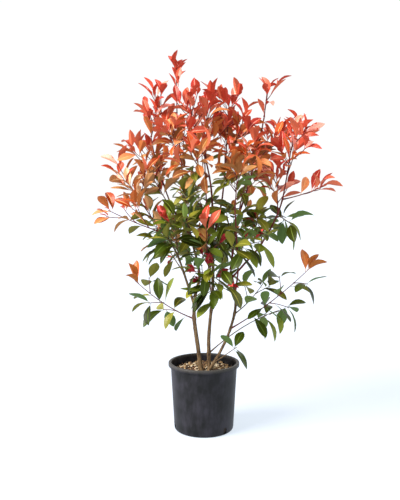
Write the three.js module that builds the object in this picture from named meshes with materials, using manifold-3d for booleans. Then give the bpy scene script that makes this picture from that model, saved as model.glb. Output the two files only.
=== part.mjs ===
// A red robin photinia in its nursery pot, 1.39 m tall, in millimetres with +Z up.
// +X is to the right of someone who looks at it from the front, and +Y is away from them.
// The origin is the middle of the pot's flat underside.
//
// Three bare stems rise from the mulch and fork into long, thin boughs. Every spray of leaves is
// one solid: a twig that branches by a seeded rule, with its leaves fused on. A spray keeps clear
// of the limbs and of the other sprays, and meets the limb that carries it with a hair's gap.
import * as THREE from "three";
import { mergeVertices } from "three/addons/utils/BufferGeometryUtils.js";
import Module from "manifold-3d";

const wasm = await Module();
wasm.setup();

// Driving dimensions of the pot
const POT_HEIGHT = 254;
const RIM_RADIUS = 132;
const FOOT_RADIUS = 110;
const WALL = 2.5;
const LIP_REACH = 8;
const LIP_DROP = 12;
const POT_SIDES = 32;
const DRAIN_COUNT = 3;
const FIRST_DRAIN_DEG = -46;
const DRAIN_WIDTH = 16;
const DRAIN_HEIGHT = 24;
const DRAIN_FOOT = 5;

// Driving dimensions of the ground in the pot
const GROUND = 224;
const GROUND_FALL = 4;
const NUGGET_COUNT = 30;
const NUGGET_RADIUS = 9.5;
const BARE_ROUND_STEM = 13;

const GAP = 0.3;
const SEED = 38;
const GOLDEN_ANGLE = THREE.MathUtils.degToRad(137.5);
const UP = new THREE.Vector3(0, 0, 1);
const STEMS = ["left_stem", "middle_stem", "right_stem"];

// Colours
const PLASTIC = 0x2b2c2f;
const MULCH = 0xa5835a;
const BARK = 0x6f4f3a;
const YOUNG_BARK = 0x5c2f2b;

// A limb grows from a foot, or from another limb, through the points that give it its bends.
// foot and tip are its radii; from is [the limb that carries it, how far along that limb].
const LIMBS = {
  left_stem: {
    foot: 8.2, tip: 6.2, bark: BARK,
    through: [[-10, -30, GROUND], [-24, -31, 330], [-36, -34, 425], [-34, -35, 500]],
  },
  middle_stem: {
    foot: 6.8, tip: 4.4, bark: BARK,
    through: [[20, -30, GROUND], [18, -22, 355], [30, -12, 490], [34, 0, 640], [32, 4, 790]],
  },
  right_stem: {
    foot: 5.3, tip: 4.4, bark: BARK,
    through: [[11, -62, GROUND], [52, -50, 290], [95, -45, 385], [115, -37, 480], [97, -22, 600]],
  },
  left_outer_bough: {
    from: ["left_stem", 0.9], foot: 4.8, tip: 2.8, bark: BARK,
    through: [[-56, -46, 540], [-97, -70, 664], [-137, -90, 738]],
  },
  left_inner_bough: {
    from: ["left_stem", 1], foot: 5.4, tip: 3.8, bark: BARK,
    through: [[-17, -12, 580], [-38, 14, 680], [-62, 26, 775]],
  },
  right_leader: {
    from: ["right_stem", 1], foot: 4.4, tip: 2.3, bark: YOUNG_BARK,
    through: [[120, -5, 770], [165, 0, 920], [203, 0, 1080], [216, 0, 1150]],
  },
  right_outer_bough: {
    from: ["right_stem", 0.93], foot: 3.9, tip: 2.1, bark: YOUNG_BARK,
    through: [[145, -32, 622], [205, -41, 695], [268, -52, 820], [292, -60, 935], [305, -60, 1030]],
  },
  left_leader: {
    from: ["left_inner_bough", 0.78], foot: 3.2, tip: 1.9, bark: YOUNG_BARK,
    through: [[-117, 18, 830], [-152, 12, 925], [-178, 10, 1010], [-192, 10, 1080]],
  },
  tall_leader: {
    from: ["left_inner_bough", 1], foot: 3.6, tip: 2, bark: YOUNG_BARK,
    through: [[-72, 30, 880], [-84, 31, 1000], [-98, 30, 1150]],
  },
  front_leader: {
    from: ["middle_stem", 1], foot: 4, tip: 2, bark: YOUNG_BARK,
    through: [[26, -32, 890], [4, -62, 1000], [-30, -78, 1080]],
  },
  centre_leader: {
    from: ["middle_stem", 0.86], foot: 3.6, tip: 2, bark: YOUNG_BARK,
    through: [[64, 24, 840], [78, 38, 970], [88, 52, 1140]],
  },
  back_leader: {
    from: ["middle_stem", 0.62], foot: 3.8, tip: 2.1, bark: YOUNG_BARK,
    through: [[28, 70, 680], [12, 130, 820], [4, 160, 990]],
  },
  back_right_bough: {
    from: ["right_leader", 0.12], foot: 3.2, tip: 2.1, bark: YOUNG_BARK,
    through: [[120, 50, 740], [138, 110, 830], [160, 130, 920]],
  },
  front_right_bough: {
    from: ["right_stem", 0.78], foot: 3.4, tip: 2.2, bark: YOUNG_BARK,
    through: [[120, -90, 610], [112, -135, 720], [104, -160, 830]],
  },
};

// A spray of leaves. on is [its limb, how far along it]; tip is where its main twig ends; side is
// the number of side twigs and reach their length; bare is the leafless share of the main twig;
// young runs from 0 for an old green leaf to 1 for the newest red one, at the foot and at the tip;
// bow is how far the twig hangs below a straight line, as a share of its length. sideYoung is the
// age at the tips of the side twigs, where it isn't the main one's; rosette is the number of leaves
// round the main tip, where it isn't the usual one; slender, where it isn't 1, says how far the red
// leaves are still smaller and slimmer than the green ones; and luck picks another draw.
const SPRAYS = [
  { name: "left_low_spray", on: ["left_outer_bough", 1], tip: [-330, -96, 817], side: 3, reach: 80,
    bare: 0.12, young: [0.4, 0.85], bow: 0.02, rosette: 4 },
  { name: "left_spray", on: ["left_outer_bough", 0.93], tip: [-304, -62, 978], side: 3, reach: 80,
    bare: 0.25, young: [0.5, 0.9], bow: 0.04, rosette: 4, luck: 3 },
  { name: "left_orange_spray", on: ["left_leader", 0.22], tip: [-231, -40, 1035], side: 3, reach: 95,
    bare: 0.4, young: [0.5, 0.9], bow: 0.06, luck: 4 },
  { name: "left_top", on: ["left_leader", 1], tip: [-177, 8, 1135], side: 3, reach: 65, bare: 0.05,
    young: [0.85, 1], bow: 0, luck: 5 },
  { name: "left_leader_back", on: ["left_leader", 0.55], tip: [-200, 120, 1040], side: 2, reach: 90,
    bare: 0.3, young: [0.5, 0.95], bow: 0.08 },
  { name: "thin_top", on: ["tall_leader", 0.8], tip: [-184, 6, 1223], side: 3, reach: 60, bare: 0.5,
    young: [0.8, 1], bow: 0.05 },
  { name: "tall_top", on: ["tall_leader", 1], tip: [-101, 30, 1324], side: 0, reach: 40, bare: 0.6,
    young: [0.9, 1], bow: 0, rosette: 7 },
  { name: "tall_leader_front", on: ["tall_leader", 0.62], tip: [-122, -84, 1090], side: 3, reach: 85,
    bare: 0.25, young: [0.5, 0.95], bow: 0.08 },
  { name: "tall_leader_back", on: ["tall_leader", 0.55], tip: [-74, 150, 1120], side: 2, reach: 95,
    bare: 0.3, young: [0.55, 1], bow: 0.08 },
  { name: "centre_top", on: ["front_leader", 1], tip: [-49, -84, 1180], side: 3, reach: 85, bare: 0.1,
    young: [0.8, 1], bow: 0.02, luck: 5 },
  { name: "centre_spray", on: ["front_leader", 0.7], tip: [10, -20, 1162], side: 3, reach: 90, bare: 0.25,
    young: [0.7, 1], bow: 0.04 },
  { name: "front_orange_spray", on: ["front_leader", 0.5], tip: [-46, -190, 1015], side: 3, reach: 90,
    bare: 0.25, young: [0.5, 0.9], bow: 0.08 },
  { name: "right_centre_top", on: ["centre_leader", 1], tip: [92, 50, 1196], side: 2, reach: 75,
    bare: 0.1, young: [0.85, 1], bow: 0, luck: 3 },
  { name: "right_centre_spray", on: ["centre_leader", 0.68], tip: [137, -44, 1129], side: 3, reach: 90,
    bare: 0.2, young: [0.6, 1], bow: 0.06, luck: 4 },
  { name: "centre_leader_back", on: ["centre_leader", 0.55], tip: [82, 160, 1100], side: 2, reach: 90,
    bare: 0.3, young: [0.55, 0.95], bow: 0.06 },
  { name: "right_tall_top", on: ["right_leader", 1], tip: [225, 0, 1235], side: 2, reach: 70, bare: 0.1,
    young: [0.85, 1], bow: 0, rosette: 4 },
  { name: "right_upper_spray", on: ["right_leader", 0.7], tip: [280, 24, 1093], side: 2, reach: 75,
    bare: 0.45, young: [0.7, 1], bow: 0.02, luck: 5 },
  { name: "right_inner_spray", on: ["right_leader", 0.55], tip: [158, -110, 1021], side: 3, reach: 90,
    bare: 0.2, young: [0.5, 0.85], bow: 0.08 },
  { name: "right_leader_back", on: ["right_leader", 0.6], tip: [206, 140, 1050], side: 2, reach: 90,
    bare: 0.25, young: [0.5, 0.95], bow: 0.06 },
  { name: "right_outer_top", on: ["right_outer_bough", 1], tip: [323, -60, 1083], side: 2, reach: 70,
    bare: 0.1, young: [0.8, 1], bow: 0, luck: 2 },
  { name: "right_outer_side", on: ["right_outer_bough", 0.84], tip: [313, -110, 1024], side: 2, reach: 65,
    bare: 0.25, young: [0.7, 1], bow: 0.05, luck: 5 },
  { name: "far_right_spray", on: ["right_outer_bough", 0.66], tip: [417, -64, 901], side: 2, reach: 55,
    bare: 0.45, young: [0.7, 1], bow: 0.03, luck: 3 },
  { name: "right_hanging_spray", on: ["right_outer_bough", 0.52], tip: [291, -34, 793], side: 2,
    reach: 50, bare: 0.1, young: [0, 0.1], bow: -0.18, luck: 1 },
  { name: "right_outer_back", on: ["right_outer_bough", 0.56], tip: [264, 0, 933], side: 3, reach: 75,
    bare: 0.2, young: [0.7, 1], bow: 0, luck: 5 },
  { name: "right_low_whorl", on: ["right_outer_bough", 0.32], tip: [216, 40, 764], side: 2, reach: 60,
    bare: 0.25, young: [0.05, 0.3], bow: 0.04, luck: 4 },
  { name: "low_left_spray", on: ["left_stem", 0.72], tip: [-245, -52, 562], side: 3, reach: 65,
    bare: 0.12, young: [0, 0.85], bow: 0.06, sideYoung: 0.1, rosette: 6, slender: 0.1 },
  { name: "low_right_spray", on: ["right_stem", 0.46], tip: [377, -42, 604], side: 4, reach: 80,
    bare: 0.28, young: [0, 0.85], bow: 0.04, sideYoung: 0, rosette: 6, slender: 0.1, luck: 6 },
  { name: "lowest_right_spray", on: ["middle_stem", 0.12], tip: [293, -20, 456], side: 2, reach: 60,
    bare: 0.6, young: [0.05, 0.2], bow: -0.07, luck: 3 },
  { name: "right_inner_low_spray", on: ["right_stem", 0.6], tip: [218, 40, 536], side: 2, reach: 75,
    bare: 0.4, young: [0.05, 0.25], bow: 0.06, luck: 4 },
  { name: "left_fork_whorl", on: ["left_inner_bough", 0.12], tip: [3, -100, 585], side: 2, reach: 70,
    bare: 0.3, young: [0, 0.15], bow: -0.06, luck: 4 },
  { name: "left_green_spray", on: ["left_outer_bough", 0.62], tip: [-100, -190, 800], side: 3, reach: 85,
    bare: 0.2, young: [0.05, 0.3], bow: 0.1, luck: 1 },
  { name: "left_side_spray", on: ["left_outer_bough", 0.45], tip: [-184, 20, 765], side: 3, reach: 55,
    bare: 0.25, young: [0.1, 0.4], bow: 0.03, luck: 1 },
  { name: "left_back_spray", on: ["left_inner_bough", 0.5], tip: [-120, 180, 760], side: 3, reach: 100,
    bare: 0.25, young: [0.05, 0.3], bow: 0.1 },
  { name: "left_inner_spray", on: ["left_inner_bough", 0.75], tip: [-58, -110, 860], side: 3, reach: 90,
    bare: 0.2, young: [0.1, 0.4], bow: 0.1 },
  { name: "front_rosette", on: ["middle_stem", 0.5], tip: [6, -196, 771], side: 3, reach: 90, bare: 0.25,
    young: [0, 0.95], bow: 0.2, sideYoung: 0.1, rosette: 6, luck: 6 },
  { name: "front_low_spray", on: ["middle_stem", 0.4], tip: [61, -150, 625], side: 2, reach: 90,
    bare: 0.3, young: [0.05, 0.25], bow: 0.06, luck: 2 },
  { name: "front_right_spray", on: ["front_right_bough", 1], tip: [110, -190, 940], side: 3, reach: 95,
    bare: 0.1, young: [0.1, 0.7], bow: 0.04 },
  { name: "front_right_low_spray", on: ["front_right_bough", 0.5], tip: [140, -190, 730], side: 2,
    reach: 75, bare: 0.2, young: [0.05, 0.3], bow: 0.08, luck: 4 },
  { name: "middle_spray", on: ["middle_stem", 0.8], tip: [149, -60, 823], side: 3, reach: 85, bare: 0.2,
    young: [0.05, 0.35], bow: 0.08, luck: 6 },
  { name: "back_top", on: ["back_leader", 1], tip: [0, 170, 1090], side: 3, reach: 95, bare: 0.1,
    young: [0.5, 0.95], bow: 0.02 },
  { name: "back_spray", on: ["back_leader", 0.6], tip: [-60, 240, 900], side: 3, reach: 100, bare: 0.2,
    young: [0.1, 0.45], bow: 0.1 },
  { name: "back_low_spray", on: ["back_leader", 0.3], tip: [60, 200, 720], side: 3, reach: 100,
    bare: 0.25, young: [0.05, 0.25], bow: 0.1 },
  { name: "back_right_spray", on: ["back_right_bough", 1], tip: [196, 190, 960], side: 3, reach: 95,
    bare: 0.1, young: [0.2, 0.8], bow: 0.04 },
  { name: "pot_side_sprig", on: ["right_stem", 0.12], tip: [112, -100, 330], side: 0, reach: 40,
    bare: 0.7, young: [0, 0], bow: 0 },
];

// The twigs of a spray, and the leaves on them. foot and tip are radii; spacings, lengths and leans
// are in millimetres and degrees; the rest are shares, or slopes in a twig's or leaf's length.
const TWIG_FOOT = 2.3;
const TWIG_TIP = 1.3;
const TWIG_SIDES = 3;
const SWELL = 5;
const BUD = 9;
const SIDE_TWIG_FOOT = 1.6;
const MAIN_STEPS = 3;
const SIDE_STEPS = 2;
const INTERNODE = { old: 96, young: 48 };
const ROSETTE = 3;
const ROSETTE_STRETCH = 16;
const SIDE_BARE = 0.3;
const TRIES = 6;
const TURN_ON = { twig: 0.8, leaf: 0.9 };
const SIDE_FROM = 0.2;
const SIDE_TO = 0.9;
const SIDE_LEAN = { low: 38, high: 58 };
const SIDE_LENGTH = { low: 0.75, high: 1.2, foot: 1.15, tip: 0.75 };
const SIDE_LIFT = { old: -0.14, young: 0.22 };
const SIDE_AGE_FROM = 0.45;
const AGE_POWER = 2.4;
const LEAF_OLD = { length: 94, width: 0.41 };
const LEAF_YOUNG = { length: 78, width: 0.33 };
const LEAF_CREASE = 0.07;
const LEAF_SIZES = { low: 0.82, high: 1.14, last: 0.95 };
const LEAF_LEAN = { oldFoot: 78, youngFoot: 52, oldTip: 48, youngTip: 34, luck: 14 };
const LEAF_LIFT = { old: -0.42, young: 0.36, luck: 0.2 };
const LEAF_ROLL = { old: 1.2, young: 1.9 };
const BACKWARD = 0.35;
const ROOT_SINK = 0.1;
const LAST_SHARE = 0.985;

// A share from 0 to 1 that depends only on its keys, so each twig and leaf has its own luck.
function chance(...keys) {
  let h = SEED;
  for (const key of keys) {
    h = Math.imul(h ^ (key + 1), 0x9e3779b1);
    h ^= h >>> 15;
    h = Math.imul(h, 0x85ebca77);
    h ^= h >>> 13;
  }
  return (h >>> 0) / 2 ** 32;
}

const between = (low, high, share) => low + (high - low) * share;
const vector = (p) => new THREE.Vector3(...p);

// The solid of a closed geometry, and the geometry of a solid
function solidOf(geometry) {
  const plain = new THREE.BufferGeometry();
  plain.setAttribute("position", geometry.getAttribute("position"));
  plain.setIndex(geometry.getIndex());
  const merged = mergeVertices(plain, 1e-4);
  return new wasm.Manifold(
    new wasm.Mesh({
      numProp: 3,
      vertProperties: new Float32Array(merged.getAttribute("position").array),
      triVerts: new Uint32Array(merged.getIndex().array),
    }),
  );
}

function geometryOf(solid) {
  const { vertProperties, triVerts } = solid.getMesh();
  const geometry = new THREE.BufferGeometry();
  geometry.setAttribute("position", new THREE.BufferAttribute(vertProperties, 3));
  geometry.setIndex(new THREE.BufferAttribute(triVerts, 1));
  geometry.computeVertexNormals();
  return geometry;
}

// The largest of a solid's loose pieces
function largestPiece(solid) {
  const pieces = solid.decompose();
  return pieces.sort((a, b) => b.volume() - a.volume())[0];
}

// A round, tapering solid through a row of rings. A ring has a middle, a direction and a radius,
// and one of no radius closes an end.
function solidThrough(rings, sides) {
  const profile = rings.map(({ radius }, i) => new THREE.Vector2(radius, i));
  const geometry = new THREE.LatheGeometry(profile, sides);
  let across = acrossFrom(rings[0].way);
  const frames = rings.map(({ middle, way }) => {
    across = across.clone().addScaledVector(way, -across.dot(way)).normalize();
    return { middle, across, over: across.clone().cross(way) };
  });
  const place = geometry.getAttribute("position");
  for (let i = 0; i < place.count; i++) {
    const { middle, across: east, over } = frames[Math.round(place.getY(i))];
    const point = middle.clone();
    point.addScaledVector(east, place.getX(i)).addScaledVector(over, place.getZ(i));
    place.setXYZ(i, point.x, point.y, point.z);
  }
  return solidOf(geometry);
}

// A direction square to an axis: level, unless the axis is upright
function acrossFrom(axis) {
  const level = Math.abs(axis.z) < 0.95 ? UP : new THREE.Vector3(1, 0, 0);
  return axis.clone().cross(level).normalize();
}

// The stems flare a little where they meet the ground.
const ROOT_FLARE = 0.45;
const FLARE_SHARE = 0.05;
const STRETCH = 56;

const closed = (ring) => ({ ...ring, radius: 0 });

function growLimbs() {
  const limbs = {};
  for (const [name, plan] of Object.entries(LIMBS)) {
    const points = plan.through.map(vector);
    if (plan.from) {
      const [carrier, share] = plan.from;
      points.unshift(limbs[carrier].curve.getPointAt(share));
    }
    const curve = new THREE.CatmullRomCurve3(points, false, "centripetal");
    const flare = plan.from ? 0 : ROOT_FLARE;
    const radiusAt = (share) =>
      between(plan.foot, plan.tip, share) * (1 + flare * Math.exp(-share / FLARE_SHARE));
    const steps = Math.round(curve.getLength() / STRETCH);
    const sides = plan.from ? 6 : 9;
    // extra makes the limb thicker and longer
    const solid = (extra) => {
      const rings = [];
      for (let i = 0; i <= steps; i++) {
        const way = curve.getTangentAt(i / steps);
        const beyond = i === 0 ? -extra : i === steps ? extra : 0;
        const middle = curve.getPointAt(i / steps).addScaledVector(way, beyond);
        rings.push({ middle, way, radius: radiusAt(i / steps) + extra });
      }
      return solidThrough([closed(rings[0]), ...rings, closed(rings.at(-1))], sides);
    };
    limbs[name] = { curve, radiusAt, steps, solid, bark: plan.bark };
  }
  return limbs;
}

// A slim box round a leaf or a stretch of twig: its middle, its three directions, its half sizes
function boxAlong(start, end, radius) {
  const along = end.clone().sub(start);
  const half = along.length() / 2;
  along.normalize();
  const across = acrossFrom(along);
  return {
    middle: start.clone().add(end).multiplyScalar(0.5),
    axes: [along, across, across.clone().cross(along)],
    half: [half, radius, radius],
  };
}

const CLEARANCE = 0.5;

// Whether two boxes touch, by looking for a direction in which a gap shows between them
function touch(a, b) {
  const away = b.middle.clone().sub(a.middle);
  const directions = [...a.axes, ...b.axes];
  for (const p of a.axes) {
    for (const q of b.axes) {
      const square = p.clone().cross(q);
      if (square.lengthSq() > 1e-6) directions.push(square.normalize());
    }
  }
  const size = (box, way) =>
    box.axes.reduce((sum, axis, i) => sum + box.half[i] * Math.abs(axis.dot(way)), 0);
  return directions.every(
    (way) => Math.abs(away.dot(way)) < size(a, way) + size(b, way) + CLEARANCE,
  );
}

const roundSize = (box) => Math.hypot(...box.half);
const near = (a, b) =>
  a.middle.distanceTo(b.middle) < roundSize(a) + roundSize(b) + CLEARANCE;

// A point on a curve that starts at a, leans towards b and ends at c
const bend = (a, b, c, share) => a.clone().lerp(b, share).lerp(b.clone().lerp(c, share), share);

// A twig of a few straight stretches: its corners, its radii, and its point and direction at a share
function twigOf(start, lean, end, foot, tip, steps) {
  const corners = [];
  for (let i = 0; i <= steps; i++) corners.push(bend(start, lean, end, i / steps));
  const at = (share) => {
    const i = Math.min(steps - 1, Math.floor(share * steps));
    const point = corners[i].clone().lerp(corners[i + 1], share * steps - i);
    return { point, way: corners[i + 1].clone().sub(corners[i]).normalize() };
  };
  const radiusAt = (share) => between(foot, tip, share);
  const boxes = [];
  let length = 0;
  for (let i = 0; i < steps; i++) {
    const bud = i === steps - 1 ? at(1).way.multiplyScalar(BUD) : new THREE.Vector3();
    boxes.push(boxAlong(corners[i], corners[i + 1].clone().add(bud), radiusAt(i / steps)));
    length += corners[i].distanceTo(corners[i + 1]);
  }
  return { corners, at, radiusAt, boxes, length, steps };
}

// The main twig of a spray, hung a little below the straight line or raised above it
function mainTwig(spray, limbs) {
  const [carrier, share] = spray.on;
  const start = limbs[carrier].curve.getPointAt(share);
  const end = vector(spray.tip);
  const lean = start.clone().lerp(end, 0.5);
  lean.z -= 2 * spray.bow * start.distanceTo(end);
  return twigOf(start, lean, end, TWIG_FOOT, TWIG_TIP, MAIN_STEPS);
}

const sideAge = (spray) => spray.sideYoung ?? spray.young[1];

// The side twigs leave the main one in turn round it. Young ones lift and old ones hang a little.
function sideTwig(main, spray, own, i, attempt) {
  const share = between(Math.max(spray.bare, SIDE_FROM), SIDE_TO, (i + 0.4) / spray.side);
  const { point, way } = main.at(share);
  const turn = i * GOLDEN_ANGLE + 2 * Math.PI * chance(own, 1) + attempt * TURN_ON.twig;
  const lean = THREE.MathUtils.degToRad(between(SIDE_LEAN.low, SIDE_LEAN.high, chance(own, i, 2)));
  const out = acrossFrom(way).applyAxisAngle(way, turn);
  const towards = way.clone().multiplyScalar(Math.cos(lean)).addScaledVector(out, Math.sin(lean));
  const lucky = between(SIDE_LENGTH.low, SIDE_LENGTH.high, chance(own, i, 3));
  const length = spray.reach * lucky * between(SIDE_LENGTH.foot, SIDE_LENGTH.tip, share);
  const middle = point.clone().addScaledVector(towards, length / 2);
  const end = point.clone().addScaledVector(towards, length);
  end.z += length * between(SIDE_LIFT.old, SIDE_LIFT.young, sideAge(spray));
  const foot = Math.min(SIDE_TWIG_FOOT, main.radiusAt(share));
  return twigOf(point, middle, end, foot, TWIG_TIP, SIDE_STEPS);
}

// Leaves of one spray may meet only near their roots.
const BLADE_FROM = 0.2;

// One leaf: root on the twig, direction, upper side, length and width. Old leaves stand out and
// droop, young ones point up along the twig.
function leafOn(twig, own, t, k, count, share, young, attempt, slender = 1) {
  const { point, way } = twig.at(share);
  const turn = k * GOLDEN_ANGLE + 2 * Math.PI * chance(own, t, 4) + attempt * TURN_ON.leaf;
  const out = acrossFrom(way).applyAxisAngle(way, turn);
  const nearTip = k / Math.max(1, count - 1);
  const atFoot = between(LEAF_LEAN.oldFoot, LEAF_LEAN.youngFoot, young);
  const atTip = between(LEAF_LEAN.oldTip, LEAF_LEAN.youngTip, young);
  const lean = between(atFoot, atTip, nearTip) + LEAF_LEAN.luck * (chance(own, t, k, 5) - 0.5);
  const open = THREE.MathUtils.degToRad(lean);
  const towards = way.clone().multiplyScalar(Math.cos(open)).addScaledVector(out, Math.sin(open));
  const lift = between(LEAF_LIFT.old, LEAF_LIFT.young, young);
  towards.z += lift + LEAF_LIFT.luck * (chance(own, t, k, 6) - 0.5);
  towards.normalize();
  const kind = (key) => between(LEAF_OLD[key], LEAF_YOUNG[key], young * slender);
  const lucky = between(LEAF_SIZES.low, LEAF_SIZES.high, chance(own, t, k, 7));
  const grown = lucky * between(1, LEAF_SIZES.last, nearTip ** 3);
  const length = kind("length") * grown;
  const width = length * kind("width");
  // The upper side looks up, and back along the twig where the leaf stands upright.
  const side = towards.clone().cross(UP.clone().addScaledVector(out, -BACKWARD)).normalize();
  const roll = between(LEAF_ROLL.old, LEAF_ROLL.young, young) * (chance(own, t, k, 8) - 0.5);
  side.applyAxisAngle(towards, roll);
  const upper = side.clone().cross(towards).normalize();
  const root = point.clone().addScaledVector(towards, -ROOT_SINK * twig.radiusAt(share));
  const crease = LEAF_CREASE * length;
  const box = {
    middle: root.clone().addScaledVector(towards, length / 2).addScaledVector(upper, crease / 2),
    axes: [towards, side, upper],
    half: [length / 2, width / 2, crease / 2],
  };
  const blade = {
    middle: box.middle.clone().addScaledVector(towards, (BLADE_FROM * length) / 2),
    axes: box.axes,
    half: [((1 - BLADE_FROM) * length) / 2, width / 2, crease / 2],
  };
  return { root, towards, side, upper, length, width, crease, young, box, blade };
}

// Leaves don't enter the pot or the ground.
const POT_SPACE = { radius: RIM_RADIUS + 4, top: POT_HEIGHT + 6, floor: 3 };

function inPot(leaf) {
  return [0.4, 0.7, 1].some((share) => {
    const p = leaf.root.clone().addScaledVector(leaf.towards, share * leaf.length);
    const inside = Math.hypot(p.x, p.y) < POT_SPACE.radius + leaf.width / 2;
    return p.z < POT_SPACE.floor || (inside && p.z < POT_SPACE.top);
  });
}

// How a leaf's age runs along its spray: old for most of the way, and young only at the tips
function ageAt(spray, share, onSide) {
  const tip = onSide ? sideAge(spray) : spray.young[1];
  return between(spray.young[0], tip, share ** AGE_POWER);
}

// What has grown so far, as boxes with their owners' names
class Room {
  taken = [];

  keep(boxes, owner) {
    for (const box of boxes) this.taken.push({ ...box, owner });
  }

  // Whether boxes touch nothing but what their own owner keeps
  clear(boxes, owner) {
    const others = this.taken.filter((other) => other.owner !== owner);
    return boxes.every((box) => others.every((other) => !near(box, other) || !touch(box, other)));
  }
}

// The room that limbs and main twigs take, before anything grows on them
function roomRound(limbs, mains) {
  const room = new Room();
  for (const [name, limb] of Object.entries(limbs)) {
    for (let i = 0; i < limb.steps; i++) {
      const from = limb.curve.getPointAt(i / limb.steps);
      const to = limb.curve.getPointAt((i + 1) / limb.steps);
      room.keep([boxAlong(from, to, limb.radiusAt(i / limb.steps))], name);
    }
  }
  SPRAYS.forEach((spray, s) => {
    if (!room.clear(mains[s].boxes.slice(1), spray.name)) {
      console.log(`${spray.name}: its main twig touches something`);
    }
    room.keep(mains[s].boxes, spray.name);
  });
  return room;
}

function sideTwigs(main, spray, own, room) {
  const twigs = [];
  for (let i = 0; i < spray.side; i++) {
    for (let attempt = 0; attempt < TRIES; attempt++) {
      const twig = sideTwig(main, spray, own, i, attempt);
      if (!room.clear(twig.boxes, spray.name)) continue;
      room.keep(twig.boxes, spray.name);
      twigs.push(twig);
      break;
    }
  }
  return twigs;
}

// The shares of its length at which a twig bears leaves: evenly spaced, and then a rosette
function leafShares(twig, bare, spacing, rosette) {
  const spaced = Math.max(0, Math.round((twig.length * (1 - bare) - ROSETTE_STRETCH) / spacing));
  const shares = [];
  for (let k = 0; k < spaced; k++) shares.push(bare + ((1 - bare) * k) / (spaced + 0.5));
  for (let k = rosette - 1; k >= 0; k--) shares.push(1 - (ROSETTE_STRETCH * k) / rosette / twig.length);
  return shares.map((share) => Math.min(LAST_SHARE, share));
}

// One spray: its side twigs and then its leaves, each in clear space. Leaves of the same spray
// may meet near their roots only.
function growSpray(spray, s, main, room) {
  const own = 1000 * s + (spray.luck ?? 0);
  const twigs = [main, ...sideTwigs(main, spray, own, room)];
  const spacing = between(INTERNODE.old, INTERNODE.young, spray.young[1]);
  const mates = twigs.flatMap((twig) => twig.boxes);
  const leaves = [];
  twigs.forEach((twig, t) => {
    const rosette = t === 0 ? (spray.rosette ?? ROSETTE) : ROSETTE;
    const shares = leafShares(twig, t === 0 ? spray.bare : SIDE_BARE, spacing, rosette);
    shares.forEach((share, k) => {
      const young = ageAt(spray, t === 0 ? share : between(SIDE_AGE_FROM, 1, share), t > 0);
      for (let attempt = 0; attempt < TRIES; attempt++) {
        const { slender } = spray;
        const leaf = leafOn(twig, own, t, k, shares.length, share, young, attempt, slender);
        const apart = mates.every((box) => !near(leaf.blade, box) || !touch(leaf.blade, box));
        if (inPot(leaf) || !apart || !room.clear([leaf.box], spray.name)) continue;
        room.keep([leaf.box], spray.name);
        mates.push(leaf.blade);
        leaves.push(leaf);
        break;
      }
    });
  });
  return { spray, twigs, leaves };
}

function growSprays(limbs) {
  const mains = SPRAYS.map((spray) => mainTwig(spray, limbs));
  const room = roomRound(limbs, mains);
  return SPRAYS.map((spray, s) => growSpray(spray, s, mains[s], room));
}

// Where a leaf's widest two pairs of margin points lie, as shares of its length and width
const LOW_MARGIN = { along: 0.34, across: 0.43 };
const HIGH_MARGIN = { along: 0.66, across: 0.5 };

// A leaf is a six-pointed solid with eight faces. Its margins are raised above the midrib, which
// runs from the root to the tip as a keel.
function leafSolid({ root, towards, side, upper, length, width, crease }) {
  const at = (along, across, up) =>
    root
      .clone()
      .addScaledVector(towards, along * length)
      .addScaledVector(side, across * width)
      .addScaledVector(upper, up * crease);
  const points = [
    at(0, 0, 0),
    at(LOW_MARGIN.along, -LOW_MARGIN.across, 0.9),
    at(HIGH_MARGIN.along, -HIGH_MARGIN.across, 1),
    at(1, 0, 0.2),
    at(HIGH_MARGIN.along, HIGH_MARGIN.across, 1),
    at(LOW_MARGIN.along, LOW_MARGIN.across, 0.9),
  ];
  const geometry = new THREE.BufferGeometry().setFromPoints(points);
  geometry.setIndex([0, 5, 1, 1, 5, 4, 1, 4, 2, 2, 4, 3, 0, 1, 3, 1, 2, 3, 0, 3, 5, 3, 4, 5]);
  return solidOf(geometry);
}

// A twig is a three-sided spindle: it swells at once from a point in the wood that carries it, and
// runs out in a bud a little past its last leaf.
function twigSolid(twig) {
  const { corners, at, steps } = twig;
  const ring = (share, radius = twig.radiusAt(share)) => {
    const { point, way } = at(Math.min(1, share));
    point.addScaledVector(way, Math.max(0, share - 1) * twig.length);
    return { middle: point, way, radius };
  };
  const rings = [ring(0, 0), ring(SWELL / twig.length)];
  for (let i = 1; i < steps; i++) {
    const way = corners[i + 1].clone().sub(corners[i - 1]).normalize();
    rings.push({ middle: corners[i], way, radius: twig.radiusAt(i / steps) });
  }
  rings.push(ring(1 + BUD / twig.length, 0));
  return solidThrough(rings, TWIG_SIDES);
}

// One spray's solid: twigs and leaves fused, cut a hair clear of the limbs, loose scraps dropped
function spraySolid({ twigs, leaves }, limbs) {
  const parts = [...twigs.map(twigSolid), ...leaves.map(leafSolid)];
  let fused = wasm.Manifold.union(parts);
  for (const limb of Object.values(limbs)) {
    const inflated = limb.solid(GAP);
    if (!fused.intersect(inflated).isEmpty()) fused = fused.subtract(inflated);
  }
  return largestPiece(fused);
}

// The pot's wall: its outer radius under the lip, and its inner radius at a height
const WALL_TOP = RIM_RADIUS - LIP_REACH;
const inside = (z) => between(FOOT_RADIUS, WALL_TOP, z / POT_HEIGHT) - WALL;

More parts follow.
